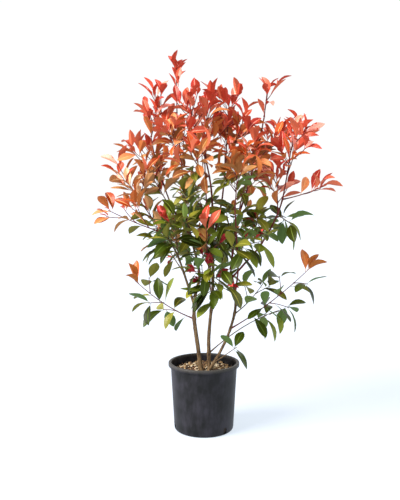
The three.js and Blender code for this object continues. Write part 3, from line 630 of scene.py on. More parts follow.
# %% [markdown]
# A full-grown leaf is 94 mm long and 0.41 of that wide, and a red one 78 mm and 0.33. The lean
# is the angle between leaf and twig, wide at the twig's foot and narrow at its tip. The box
# round a leaf keeps room for the whole of it, and the blade's box for all but the stalk.

# %% Leaves of the frame's sprays
LEAF_LENGTH = (94, 78)
LEAF_WIDTH = (0.41, 0.33)
LEAF_CREASE = 0.07
LEAF_SIZES = (0.82, 1.14)
LAST_LEAF_SIZE = 0.95
LEAN_AT_FOOT_DEG = (78, 52)
LEAN_AT_TIP_DEG = (48, 34)
LEAN_LUCK_DEG = 14
LEAF_LIFT = (-0.42, 0.36)
LIFT_LUCK = 0.2
LEAF_ROLL = (1.2, 1.9)
BACKWARD = 0.35
ROOT_SINK = 0.1
LAST_SHARE = 0.985
SIDE_AGE_FROM = 0.45
AGE_POWER = 2.4
BLADE_FROM = 0.2
INTERNODE = (96, 48)
ROSETTE_STRETCH = 16
SIDE_BARE = 0.3
POT_SPACE_RADIUS = 136
POT_SPACE_TOP = 260
FLOOR_SPACE = 3


def leaf_on(twig, keys, k, count, share, young, attempt, slender=1, grown=1.0):
    """One leaf, number k of count on its twig: its root, its own three axes (along, across and
    up from the blade), its length and width, and its boxes."""
    point, way = twig.at(share)
    turn = k * GOLDEN_ANGLE + 2 * math.pi * chance(*keys, 4) + attempt * LEAF_TURN_ON
    out = turned(across_from(way), way, turn)
    near_tip = k / max(1, count - 1)
    lean = between(between(*LEAN_AT_FOOT_DEG, young), between(*LEAN_AT_TIP_DEG, young), near_tip)
    lean = math.radians(lean + LEAN_LUCK_DEG * (chance(*keys, k, 5) - 0.5))
    towards = way * math.cos(lean) + out * math.sin(lean)
    towards[2] += between(*LEAF_LIFT, young)
    towards[2] += LIFT_LUCK * (chance(*keys, k, 6) - 0.5)
    towards = unit(towards)
    lucky = between(*LEAF_SIZES, chance(*keys, k, 7))
    size = grown * lucky * between(1, LAST_LEAF_SIZE, near_tip**3)
    length = between(*LEAF_LENGTH, young * slender) * size
    width = length * between(*LEAF_WIDTH, young * slender)
    side = unit(np.cross(towards, UP - BACKWARD * out))
    roll = between(*LEAF_ROLL, young) * (chance(*keys, k, 8) - 0.5)
    side = turned(side, towards, roll)
    upper = unit(np.cross(side, towards))
    root = point - towards * ROOT_SINK * twig.radius(share)
    crease = LEAF_CREASE * length
    axes = np.array([towards, side, upper])
    middle = root + towards * length / 2 + upper * crease / 2
    box = (middle, axes, np.array([length, width, crease]) / 2)
    blade_half = np.array([(1 - BLADE_FROM) * length, width, crease]) / 2
    blade = (middle + towards * BLADE_FROM * length / 2, axes, blade_half)
    return dict(
        root=root, axes=axes, length=length, width=width, young=young, box=box, blade=blade,
        luck=chance(*keys, k, 13),
    )


def in_pot(leaf):
    """Whether one of three points along a leaf dips into the pot or under the floor."""
    for share in (0.4, 0.7, 1):
        x, y, z = leaf["root"] + leaf["axes"][0] * share * leaf["length"]
        inside = math.hypot(x, y) < POT_SPACE_RADIUS + leaf["width"] / 2
        if z < FLOOR_SPACE or (inside and z < POT_SPACE_TOP):
            return True
    return False


def age_at(plan, share, on_side):
    """Old for most of the way, and young only at the tips: by a power of the share."""
    tip = plan["side_young"] if on_side else plan["young"][1]
    return between(plan["young"][0], tip, share**AGE_POWER)


def age_on(plan, t, share):
    """The age at a share of twig t, where the main twig is 0. Side twigs start in middle age."""
    return age_at(plan, between(SIDE_AGE_FROM, 1, share) if t else share, t > 0)


def leaf_shares(twig, bare, spacing, rosette):
    """The shares of its length at which a twig bears leaves: evenly spaced, then a rosette."""
    spaced = max(0, math.floor((twig.length * (1 - bare) - ROSETTE_STRETCH) / spacing + 0.5))
    even = [bare + (1 - bare) * k / (spaced + 0.5) for k in range(spaced)]
    close = [1 - ROSETTE_STRETCH * k / rosette / twig.length for k in reversed(range(rosette))]
    return [min(LAST_SHARE, share) for share in even + close]


old_width, red_width = (round(size * share) for size, share in zip(LEAF_LENGTH, LEAF_WIDTH))
print("full-grown leaves are", old_width, "mm wide, and red ones", red_width)

# %% Grow every spray
def wood_room():
    """The room that the limbs, by straight stretches, and all the main twigs take. The limbs own
    their boxes by negative numbers, and spray number s owns those marked s."""
    room = Boxes()
    for number, limb in enumerate(limbs.values()):
        steps = limb["steps"]
        for i in range(steps):
            a, b = limb["curve"].at(i / steps), limb["curve"].at((i + 1) / steps)
            room.keep(box_along(a, b, limb_radius(limb["plan"], i / steps)), -1 - number)
    mains = [main_twig(plan) for plan in SPRAYS]
    for s, main in enumerate(mains):
        for box in main.boxes:
            room.keep(box, s)
    return mains, room


def side_twigs(main, plan, own, s, room):
    """The side twigs that find clear room, each with a few tries."""
    twigs = []
    for i in range(plan["side"]):
        for attempt in range(TRIES):
            twig = side_twig(main, plan, own, i, attempt)
            if any(room.hit(box, passing=s) for box in twig.boxes):
                continue
            for box in twig.boxes:
                room.keep(box, s)
            twigs.append(twig)
            break
    return twigs


def grow_spray(s, main, room):
    """One spray: its side twigs and then its leaves, each in clear room. own is the key that its
    luck hangs on, and leaves of the same spray may meet near their roots only."""
    plan = SPRAYS[s]
    own = 1000 * s + plan["luck"]
    twigs = [main] + side_twigs(main, plan, own, s, room)
    spacing = between(*INTERNODE, plan["young"][1])
    leaves, mates = [], Boxes(256)
    for twig in twigs:
        for box in twig.boxes:
            mates.keep(box, s)
    for t, twig in enumerate(twigs):
        rosette = ROSETTE if t else plan["rosette"]
        shares = leaf_shares(twig, SIDE_BARE if t else plan["bare"], spacing, rosette)
        for k, share in enumerate(shares):
            young = age_on(plan, t, share)
            for attempt in range(TRIES):
                leaf = leaf_on(
                    twig, (own, t), k, len(shares), share, young, attempt, plan["slender"]
                )
                if in_pot(leaf) or mates.hit(leaf["blade"]) or room.hit(leaf["box"], passing=s):
                    continue
                room.keep(leaf["box"], s)
                mates.keep(leaf["blade"], s)
                leaves.append(leaf)
                break
    return dict(plan=plan, number=s, own=own, twigs=twigs, leaves=leaves)


main_twigs, room = wood_room()
grown = [grow_spray(s, main, room) for s, main in enumerate(main_twigs)]
print("grown:", *(sum(len(each[kind]) for each in grown) for kind in ("twigs", "leaves")))

# %% [markdown]
# ## Finer growth
#
# The frame's sprays hold only as many leaves as simple solids can carry. The real twigs carry
# more: leaves between the others, a fuller rosette at every tip, short shoots with a whorl of
# their own, and a few slim leaves still upright round the buds. Some green twigs end in a new red
# shoot. All of it follows the same rule with other luck and stays inside the box that its spray's
# solid fills in the frame, so the open sky between the sprays stays open. The thin outer sprays
# get the fuller tips only.

# %% Room for the finer growth
OPEN_SPRAYS = (
    "low_left_spray", "low_right_spray", "lowest_right_spray", "right_inner_low_spray",
    "pot_side_sprig", "far_right_spray", "left_low_spray", "right_hanging_spray", "thin_top",
    "right_tall_top",
)
SQUEEZE = 0.62
REACH_SLACK = 6


def squeezed(box):
    """A box with its half sizes cut down, as a leaf may brush past its neighbours' edges."""
    middle, axes, half = box
    return middle, axes, half * np.array([SQUEEZE, SQUEEZE, 1])


def within(plan, leaf):
    """Whether a leaf's tip stays in the box that the spray's solid fills."""
    low, high = (np.array(corner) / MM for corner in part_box(plan["name"]))
    tip = leaf["root"] + leaf["axes"][0] * leaf["length"]
    return bool(np.all(tip > low - REACH_SLACK) and np.all(tip < high + REACH_SLACK))


def fit_leaf(each, t, k, count, share, young, keys, size):
    """Grows a leaf if one of a few turns round the twig has room for it."""
    plan = each["plan"]
    for attempt in range(TRIES):
        leaf = leaf_on(
            each["twigs"][t], keys, k, count, share, young, attempt, plan["slender"], size
        )
        if in_pot(leaf) or not within(plan, leaf) or room.hit(squeezed(leaf["box"])):
            continue
        room.keep(squeezed(leaf["box"]), each["number"])
        each["leaves"].append(leaf)
        return


print("thin sprays:", len(OPEN_SPRAYS), "of", len(SPRAYS))

# %% Short shoots
SHOOTS_MORE = 2
SHOOT_SHARES = (0.3, 0.92)
SHOOT_LEAN_DEG = (35, 60)
SHOOT_LENGTH = (28, 52)
SHOOT_LIFT = 0.25
SHOOT_FOOT = 1.1
SHOOT_TIP = 0.8
SHOOT_LEAVES = 4
WHORL_SHARES = (0.55, 0.98)
WHORL_LEAF_SIZE = 0.92


def shoot_on(main, own, i):
    """A short shoot between the side twigs, at 35 to 60 degrees from the main twig."""
    share = between(*SHOOT_SHARES, chance(own, i, 21))
    point, way = main.at(share)
    out = turned(across_from(way), way, 2 * math.pi * chance(own, i, 22))
    lean = math.radians(between(*SHOOT_LEAN_DEG, chance(own, i, 23)))
    towards = way * math.cos(lean) + out * math.sin(lean)
    length = between(*SHOOT_LENGTH, chance(own, i, 24))
    end = point + (towards + SHOOT_LIFT * UP) * length
    lean_to = point + towards * length / 2
    return Twig(point, lean_to, end, SHOOT_FOOT, SHOOT_TIP, SIDE_STEPS), share


def grow_shoots(each):
    """Shoots with a whorl of leaves, wherever the spray has room for their wood."""
    plan, own = each["plan"], each["own"]
    for i in range(plan["side"] + SHOOTS_MORE):
        twig, share = shoot_on(each["twigs"][0], own, i)
        if any(room.hit(box, passing=each["number"]) for box in twig.boxes):
            continue
        t = len(each["twigs"])
        each["twigs"].append(twig)
        young = age_at(plan, share, True)
        for k in range(SHOOT_LEAVES):
            place = between(*WHORL_SHARES, k / (SHOOT_LEAVES - 1))
            fit_leaf(each, t, k, SHOOT_LEAVES, place, young, (own, i, 31), WHORL_LEAF_SIZE)


closed_sprays = [each for each in grown if each["plan"]["name"] not in OPEN_SPRAYS]
for each in closed_sprays:
    grow_shoots(each)
print("with shoots:", sum(len(each["twigs"]) for each in grown), "twigs")

# %% Leaves between the others, and fuller tips
LEAF_SPACING = (50, 60)
LAST_BETWEEN = 0.97
BETWEEN_LEAF_SIZE = (0.82, 1.06)
MORE_AT_TIPS = 2
TIP_LEAF_SIZE = (0.8, 1.02)
RED_TIP_AGE = 0.3
BUD_LEAF_SIZE = (0.32, 0.55)
BUD_LEAF_YOUNGER = 0.12
BUD_UPRIGHT = 1.3
RED_SHOOT_SHARE = 0.3
RED_SHOOT_LEAVES = 3
RED_SHOOT_SIZE = (0.55, 0.85)
RED_SHOOT_AGE = 1.2


def upright_axes(axes, way):
    """A leaf's axes turned so that it stands closer to the twig's own direction."""
    towards = unit(axes[0] + BUD_UPRIGHT * way)
    side = unit(axes[1] - towards * np.dot(axes[1], towards))
    return np.array([towards, side, np.cross(side, towards)])


def grow_bud_leaf(each, t, k, young, sizes):
    """A slim leaf, upright round the bud at a twig's tip."""
    twig, own = each["twigs"][t], each["own"]
    size = between(*sizes, chance(own, t, k, 51))
    leaf = leaf_on(twig, (own, t, 52), k, 9, LAST_SHARE, young, 0, 1, size)
    leaf["axes"] = upright_axes(leaf["axes"], twig.at(1)[1])
    each["leaves"].append(leaf)


def grow_tips(each):
    """More leaves in the rosette at each tip, and a slim one by the bud where the tip is red.
    Some green twigs end in a new red shoot."""
    plan, own = each["plan"], each["own"]
    for t, twig in enumerate(each["twigs"]):
        tip_age = plan["side_young"] if t else plan["young"][1]
        for k in range(MORE_AT_TIPS):
            size = between(*TIP_LEAF_SIZE, chance(own, t, k, 61))
            place = 1 - ROSETTE_STRETCH * (k + 0.5) / ROSETTE / twig.length
            number, count = ROSETTE + k, 2 * ROSETTE
            fit_leaf(each, t, number, count, place, tip_age, (own, t, 62), size)
        if tip_age > RED_TIP_AGE:
            grow_bud_leaf(each, t, 6, min(1, tip_age + BUD_LEAF_YOUNGER), BUD_LEAF_SIZE)
        elif plan["name"] not in OPEN_SPRAYS and chance(own, t, 71) < RED_SHOOT_SHARE:
            for k in range(RED_SHOOT_LEAVES):
                grow_bud_leaf(each, t, k, RED_SHOOT_AGE, RED_SHOOT_SIZE)


def grow_between(each):
    """Leaves in the gaps along every twig."""
    plan, own = each["plan"], each["own"]
    spacing = between(*LEAF_SPACING, plan["young"][1])
    for t, twig in enumerate(each["twigs"]):
        bare = SIDE_BARE if t else plan["bare"]
        count = math.floor(twig.length * (1 - bare) / spacing)
        for k in range(count):
            share = bare + (LAST_BETWEEN - bare) * (k + 0.5) / count
            young = age_on(plan, t, share)
            size = between(*BETWEEN_LEAF_SIZE, chance(own, t, k, 41))
            fit_leaf(each, t, k, count + 2, share, young, (own, t, 42), size)


for each in grown:
    grow_tips(each)
for each in closed_sprays:
    grow_between(each)
leaves = [leaf for each in grown for leaf in each["leaves"]]
print("with the finer growth:", len(leaves), "leaves")

# %% [markdown]
# ## The leaf
#
# A photinia leaf is a leathery blade on a short stalk, widest a little past its middle, with a
# fine point. It is folded along the midrib, bulges a little between midrib and margin, arches
# back at the tip and never lies quite flat. It could be a flat outline with a bent texture, but
# a leaf catches light by its curve, so each is a closed surface: rings of seven points follow
# the midrib, five upper faces wide and two lower faces wide, with a strip for the midrib itself.
# All leaves of a tint are worked out at once, as arrays.

# %% The surface of all leaves at once
STALK = 0.13
ROWS = np.array([0.04, STALK, 0.24, 0.38, 0.54, 0.7, 0.84, 0.94])
UPPER = np.array([-1, -0.5, -0.08, 0.08, 0.5, 1])
STALK_HALF_WIDTH = 0.9
LEAF_THICKNESS = 0.011
SWELL = 0.85
OUTLINE_POWER = (0.76, 0.98)
FOLD_DEG = (11, 27)
FOLD_LUCK = (0.6, 1.4)
ARCH = (0.10, 0.13)
ARCH_LUCK = (0.1, 1.6)
SWAY = 0.1
TWIST = 0.7
WAVE = 0.07


def leaf_rings(picked):
    """Rings round each leaf's midrib, (leaves, rows, 7, 3), and the points at root and tip.

    Along the leaf, b runs from 0 at the root to 1 at the tip. The half width is W/2 times
    sin(pi t^1.18)^power, where t runs from 0 at the end of the stalk to 1 at the tip. The power
    is 0.76 on old leaves and 0.98 on young ones, which are more pointed. The midrib rises above
    the chord by arch L (0.8 sin(pi b) - 0.7 b^2), so the tip hangs below it, and swings sideways
    by sway L sin(pi b). Across the leaf, a runs from -1 to 1, the blade rises from the midrib by
    the half width times tan(fold) |a|^0.85, and the margin of a young leaf waves a little."""
    luck = np.array([leaf["luck"] for leaf in picked])
    second = (luck * 7.13) % 1
    third = (luck * 23.7) % 1
    root, length, width, young = (
        np.array([leaf[key] for leaf in picked]) for key in ("root", "length", "width", "young")
    )
    towards, side, upper = np.array([leaf["axes"] for leaf in picked]).transpose(1, 0, 2)
    fold = np.radians(between(*FOLD_DEG, young)) * between(*FOLD_LUCK, second)
    arch = between(*ARCH, young) * between(*ARCH_LUCK, third)
    sway = SWAY * (second - 0.5)
    twist = TWIST * (luck - 0.5)

    def midrib(b):
        """Points on the midrib, (leaves, rows, 3), and how high they rise for each step along."""
        rise = arch[:, None] * (0.8 * np.sin(np.pi * b) - 0.7 * b**2)
        slope = arch[:, None] * (0.8 * np.pi * np.cos(np.pi * b) - 1.4 * b)
        swing = sway[:, None] * np.sin(np.pi * b)
        steps = b[None, :, None] * towards[:, None] + rise[..., None] * upper[:, None]
        steps = steps + swing[..., None] * side[:, None]
        return root[:, None] + steps * length[:, None, None], slope

    b = ROWS
    middle, slope = midrib(b)
    t = np.clip((b - STALK) / (1 - STALK), 0, 1)
    power = between(*OUTLINE_POWER, young)[:, None]
    half = width[:, None] / 2 * np.sin(np.pi * t**1.18) ** power + STALK_HALF_WIDTH * (1 - t)
    turn = twist[:, None, None] * b[None, :, None]
    flat_normal = unit(upper[:, None] - slope[..., None] * towards[:, None])
    out = side[:, None] * np.cos(turn) + flat_normal * np.sin(turn)
    normal = flat_normal * np.cos(turn) - side[:, None] * np.sin(turn)

    a = np.abs(UPPER)
    lift = half[..., None] * np.tan(fold)[:, None, None] * a**SWELL
    wave = WAVE * half[..., None] * (a > 0.9) * young[:, None, None]
    phase = 2 * np.pi * (1.7 * b[None, :, None] + luck[:, None, None]) + np.sign(UPPER)
    lift = lift + wave * np.sin(phase)
    upper_points = (
        middle[:, :, None]
        + out[:, :, None] * (half[..., None] * UPPER)[..., None]
        + normal[:, :, None] * lift[..., None]
    )
    thick = LEAF_THICKNESS * length[:, None] * (0.5 + 0.5 * np.sin(np.pi * b))
    under = middle - normal * thick[..., None]
    rings = np.concatenate([upper_points, under[:, :, None]], axis=2)
    tip = midrib(np.array([1.0]))[0][:, 0]
    return rings, root, tip


test_rings, _, _ = leaf_rings(leaves[:1])
print("one leaf:", test_rings.shape, "points in rings")

# %% [markdown]
# ## Leaf tints
#
# A red robin leaf unfolds crimson or scarlet, turns coral and orange within weeks, then bronze
# and olive, and ends up a dark glossy green with a paler, duller back. The age of each leaf is
# already known from its place on its spray, so the tints are dealt out by age, with a little
# luck. Two more tints depend on the place: rust on the lowest young leaves, and a pale apricot on
# bronze leaves on the left, the side the light comes from, which is painted light. Each tint has
# three shades for the blade, as no two neighbours match: a middle one, a darker one and a paler
# one, which also stand in for leaves in shade and in light, as painted shade and painted light.
# A picture or a fine pattern would blur on so many small faces, so every shade is one plain
# colour.

# %% The tints
# Each tint's blade shades are its middle colour, a darker copy that is painted shade and a paler copy
# that is painted light, besides the real difference between leaves.
TINTS = {
    "crimson": dict(blade=("b0242a", "8e1620", "cc4440"), rib="d8625c", under="9c2c30"),
    "scarlet": dict(blade=("de4430", "ae2c1c", "f69684"), rib="f4a48e", under="c04a34"),
    "coral": dict(blade=("e66448", "bc4426", "faa68c"), rib="f8b496", under="cc6a4c"),
    "orange": dict(blade=("dc5c22", "a8400e", "f0965c"), rib="f0b67c", under="c0703c"),
    "rust": dict(blade=("c4581c", "a84814", "d87838"), rib="e09858", under="b0662e"),
    "apricot": dict(blade=("cc9058", "b47a40", "e6b888"), rib="ecc898", under="bc8858"),
    "bronze": dict(blade=("b4682e", "8c4c1c", "d29250"), rib="dcac68", under="a06a3c"),
    "olive": dict(blade=("70701c", "50520c", "92902e"), rib="a09c40", under="76742c"),
    "green": dict(blade=("546010", "3a4208", "7a842c"), rib="7a8c36", under="667a3a"),
    "dark_green": dict(blade=("38460c", "242c04", "54621c"), rib="586c28", under="58703a"),
}
STEPS = {
    "dark_green": 0.1, "green": 0.27, "olive": 0.42, "bronze": 0.62,
    "orange": 0.78, "coral": 0.92, "scarlet": 1.1,
}
# Young leaves shine most, and old ones are leathery. Undersides and midribs are dull.
GLOSS = {
    "young": dict(Roughness=0.42, Specular_IOR_Level=0.3, Coat_Weight=0.12),
    "old": dict(Roughness=0.36, Specular_IOR_Level=0.12, Coat_Weight=0.06),
    "dull": dict(Roughness=0.6, Specular_IOR_Level=0.1),
}


def roughen(material, size_mm, detail, strength, depth_mm):
    """A bump from a noise whose grains are size_mm wide."""
    place = add(material, "ShaderNodeTexCoord")
    grain = add(
        material, "ShaderNodeTexNoise", {"Scale": 1 / (size_mm * MM), "Detail": detail},
        {0: place.outputs["Object"]},
    )
    bump = add(
        material, "ShaderNodeBump", {"Strength": strength, "Distance": depth_mm * MM},
        {"Height": grain.outputs[0]},
    )
    feed(material, "Normal", bump.outputs[0])


def leaf_material(name, colour, gloss):
    """Leaf cuticle: plain pigment under a thin wax layer, which gives the soft highlight. The
    fine veins are about 2 mm apart, and so are the grains of the bump."""
    material = new_material(name, Base_Color=linear(colour), Coat_Roughness=0.25, **GLOSS[gloss])
    roughen(material, 2, 2.0, 0.12, 0.4)
    return material


print("blade shades:", sum(len(tint["blade"]) for tint in TINTS.values()))

# %% Which leaf has which tint
AGE_LUCK = 0.16
LOW_SHIFT = 0.15
SHIFT_FROM_TO = (1090, 840)
RIGHT_EDGE = 180
RIGHT_FADE = 200
RIGHT_LEAST = 0.2
INNER_TOP = 850
INNER_FADE = 100
PAINTED_LIGHT_TOP = 940
RUST_BELOW = 680
APRICOT_LEFT_OF = -115
APRICOT_SPREAD = 60


def tint_names(picked):
    """Each leaf's tint by its age, moved a little by its luck. The flush is at its reddest at the
    top and on the right, and is further on, nearer to orange, lower down and on the left. The few
    red shoots among the green leaves are new. The lowest young leaves are rusty. On the left, the
    side the light comes from, bronze leaves are painted a pale apricot and half of the low green
    ones a paler olive: painted light."""
    x, _, z = np.array([leaf["root"] for leaf in picked]).T
    high, low = SHIFT_FROM_TO
    lower = np.clip((high - z) / (high - low), 0, 1)
    lower = lower * np.clip((RIGHT_EDGE - x) / RIGHT_FADE, RIGHT_LEAST, 1)
    lower = lower * np.clip((z - INNER_TOP + INNER_FADE) / INNER_FADE, 0, 1)
    luck = np.array([(leaf["luck"] * 11.3) % 1 - 0.5 for leaf in picked])
    young = np.array([leaf["young"] for leaf in picked]) + AGE_LUCK * luck
    young = young - LOW_SHIFT * lower * (young > STEPS["olive"])
    step = np.searchsorted(list(STEPS.values()), young)
    names = np.array([*STEPS, "crimson"], dtype="U12")[step]
    names[np.isin(names, ["orange", "coral"]) & (z < RUST_BELOW)] = "rust"
    # Pale apricot here and paler olive below are painted light on the left, the side the light comes
    # from.
    painted_light_left = (x < APRICOT_LEFT_OF + APRICOT_SPREAD * luck) & (z < PAINTED_LIGHT_TOP)
    names[(names == "bronze") & painted_light_left] = "apricot"
    low_left = (z < RUST_BELOW) & (x < 0) & (luck > 0)
    names[np.isin(names, ["green", "dark_green"]) & low_left] = "olive"
    return names


tint_of = tint_names(leaves)
print({tint: int(np.sum(tint_of == tint)) for tint in TINTS})

# %% The leaves, one piece for each tint
RIB = 3
UNDERSIDE = 4
RIB_COLUMN = 2
UNDER_COLUMNS = slice(5, None)
COLUMNS = len(UPPER) + 1


def face_kinds(picked):
    """The material number of each face: one of three blade shades by luck, which are the middle
    colour, a painted-shade copy and a painted-light copy, then the midrib strip and the stalk, and
    the two strips underneath. Rows between the rings come first, then the ends."""
    count = len(picked)
    shade = np.floor(3 * np.array([(leaf["luck"] * 5.77) % 1 for leaf in picked])).astype(int)
    rows = np.empty((count, len(ROWS) - 1, COLUMNS), int)
    rows[:] = shade[:, None, None]
    rows[:, 0] = RIB
    rows[:, :, RIB_COLUMN] = RIB
    rows[:, :, UNDER_COLUMNS] = UNDERSIDE
    ends = np.empty((count, 2, COLUMNS), int)
    ends[:, 0] = RIB
    ends[:, 1] = shade[:, None]
    ends[:, 1, UNDER_COLUMNS] = UNDERSIDE
    return np.concatenate([rows.ravel(), ends.ravel()])


spray_nodes = [plan["name"] for plan in SPRAYS]
for tint, colours in TINTS.items():
    picked = [leaf for leaf, name in zip(leaves, tint_of) if name == tint]
    gloss = "old" if "green" in tint else "young"
    materials = [
        *(leaf_material(f"{tint} leaf {i + 1}", c, gloss) for i, c in enumerate(colours["blade"])),
        leaf_material(f"{tint} midrib", colours["rib"], "dull"),
        leaf_material(f"{tint} underside", colours["under"], "dull"),
    ]
    piece = new_piece(
        f"{tint}_leaves", tube_points(*leaf_rings(picked)),
        tube_faces(len(picked), len(ROWS), COLUMNS), materials, face_kinds(picked), sharp_deg=24,
    )
    settle(piece, spray_nodes)

# %% [markdown]
# ## Twigs
#
# The twigs are wiry and smooth, maroon while they are young. Each follows its own curve, swells
# a little where it leaves the wood, and ends in a pointed bud.

# %% The surface of all twigs at once
TWIG_RINGS = 10
TWIG_SIDES = 7
TWIG_COLLAR = 0.7
COLLAR_LENGTH = 7
NECK_PLACE = 0.45
NECK_SWELL = 1.15


def rings_round(centres, radii, sides):
    """Rings square to a row of centres: centre + radius (east cos angle + north sin angle).
    centres is (tubes, rings, 3), and radii is (tubes, rings) or has a last axis for the sides."""
    way = unit(np.gradient(centres, axis=1))
    chord = unit(centres[:, -1] - centres[:, 0])
    level = np.where(np.abs(chord[:, 2:]) < 0.95, UP, np.array([1.0, 0.0, 0.0]))
    aside = unit(np.cross(chord, level))[:, None]
    east = unit(aside - way * np.sum(aside * way, axis=2, keepdims=True))
    north = np.cross(way, east)
    angle = 2 * np.pi * np.arange(sides)[None, None, :, None] / sides
    spoke = east[:, :, None] * np.cos(angle) + north[:, :, None] * np.sin(angle)
    radii = radii[..., None] if radii.ndim == 2 else radii
    return centres[:, :, None] + spoke * radii[..., None]


def twig_tubes(twigs):
    """Every twig as a tube on its quadratic curve. Its radius runs evenly from foot to tip, times
    1 + 0.7 exp(-distance from the foot / 7 mm) for the collar, and a bud swells a little past
    the tip and runs to a point."""
    start, lean, end, length, foot, tip = (
        np.array([getattr(twig, key) for twig in twigs])[:, None]
        for key in ("start", "lean", "end", "length", "foot", "tip")
    )
    share = np.linspace(0, 1, TWIG_RINGS)[None]
    centres = bend(start, lean, end, share[..., None])
    radii = between(foot, tip, share) * (1 + TWIG_COLLAR * np.exp(-share * length / COLLAR_LENGTH))
    way = unit(centres[:, -1] - centres[:, -2])
    neck = centres[:, -1] + way * BUD * NECK_PLACE
    bud_tip = centres[:, -1] + way * BUD
    centres = np.concatenate([centres, neck[:, None]], axis=1)
    radii = np.concatenate([radii, tip * NECK_SWELL], axis=1)
    return tube_points(rings_round(centres, radii, TWIG_SIDES), start[:, 0], bud_tip)


print("a twig has", twig_tubes(grown[0]["twigs"][:1]).shape[1], "points")


# %% Bark
BARK_STRETCH = 0.15


def bark_material(name, colours, lenticel, roughness):
    """Thin bark: streaks about 6 mm wide and 40 mm long in two shades, pale lenticels 7 mm
    apart, and fine fissures along the stem. Real lenticels are about 1 mm across, and are drawn
    2 mm across so that they show."""
    material = new_material(name, Roughness=roughness, Specular_IOR_Level=0.2)
    place = add(material, "ShaderNodeTexCoord")
    stretched = add(
        material, "ShaderNodeMapping", {"Scale": (1, 1, BARK_STRETCH)}, {0: place.outputs["Object"]}
    )
    streaks = add(
        material, "ShaderNodeTexNoise", {"Scale": 1 / (6 * MM), "Detail": 4.0, "Roughness": 0.6},
        {0: stretched.outputs[0]},
    )
    ramp = add(material, "ShaderNodeValToRGB", links={0: streaks.outputs[0]})
    for element, position, colour in zip(ramp.color_ramp.elements, (0.35, 0.68), colours):
        element.position = position
        element.color = linear(colour)
    dots = add(material, "ShaderNodeTexVoronoi", {"Scale": 1 / (7 * MM)}, {0: place.outputs["Object"]})
    spot = add(
        material, "ShaderNodeMapRange",
        {"From Min": 0.12, "From Max": 0.2, "To Min": 0.75, "To Max": 0.0},
        {0: dots.outputs["Distance"]},
    )
    mixed = add(
        material, "ShaderNodeMix", {"data_type": "RGBA", 7: linear(lenticel)},
        {0: spot.outputs[0], 6: ramp.outputs[0]},
    )
    feed(material, "Base Color", mixed.outputs[2])
    fissures = add(
        material, "ShaderNodeTexNoise", {"Scale": 1 / (1.8 * MM), "Detail": 3.0},
        {0: stretched.outputs[0]},
    )
    bump = add(
        material, "ShaderNodeBump", {"Strength": 0.5, "Distance": 0.5 * MM},
        {"Height": fissures.outputs[0]},
    )
    feed(material, "Normal", bump.outputs[0])
    return material


# Old bark is corky and looks matt. Young bark is smooth and looks a little polished.
old_bark = bark_material("tan-brown bark", ("3e2c1e", "80684a"), "a8916c", 0.8)
young_bark = bark_material("maroon young bark", ("4c181a", "7a2e2a"), "9a5a4c", 0.5)
print("barks:", old_bark.name, "and", young_bark.name)

# %% The twigs, old and young
YOUNG_TWIG_AGE = 0.4
for name, slot, bark, wanted in (
    ("old_twigs", "stem_bark", old_bark, False),
    ("young_twigs", "young_bark", young_bark, True),
):
    sprays = [each for each in grown if (each["plan"]["young"][1] > YOUNG_TWIG_AGE) == wanted]
    twigs = [twig for each in sprays for twig in each["twigs"]]
    faces = tube_faces(len(twigs), TWIG_RINGS + 1, TWIG_SIDES)
    settle(new_piece(name, twig_tubes(twigs), faces, [bark], sharp_deg=60), spray_nodes)

# %% [markdown]
# ## Stems and boughs
#
# The bark is thin and nearly smooth, but it isn't a pipe's: shallow fissures run along it, a
# swelling marks every fork and old leaf scar, and the stems spread where they enter the ground.
# Each limb is a tube whose radius depends on the place along it and on the angle round it, so
# the relief is in the surface itself.

# %% Limbs with bark relief
RING_SPACING = 2.6
LIMB_SIDES = 28
ROOT_DEPTH = 8
KNOT_LENGTH = 8
KNOT_SWELL = 0.22
COLLAR_SWELL = 0.3
COLLAR_FADE = 12
SCAR_SPACING = 47
SCAR_WIDTH = 2.2
SCAR_SWELL = 0.09
FISSURE_DEPTH = 0.05


def forks_on(name):
    """Where other limbs and sprays leave a limb, as shares of its length."""
    plans = [*LIMBS.values(), *SPRAYS]
    return [plan["on"][1] for plan in plans if plan["on"] and plan["on"][0] == name]


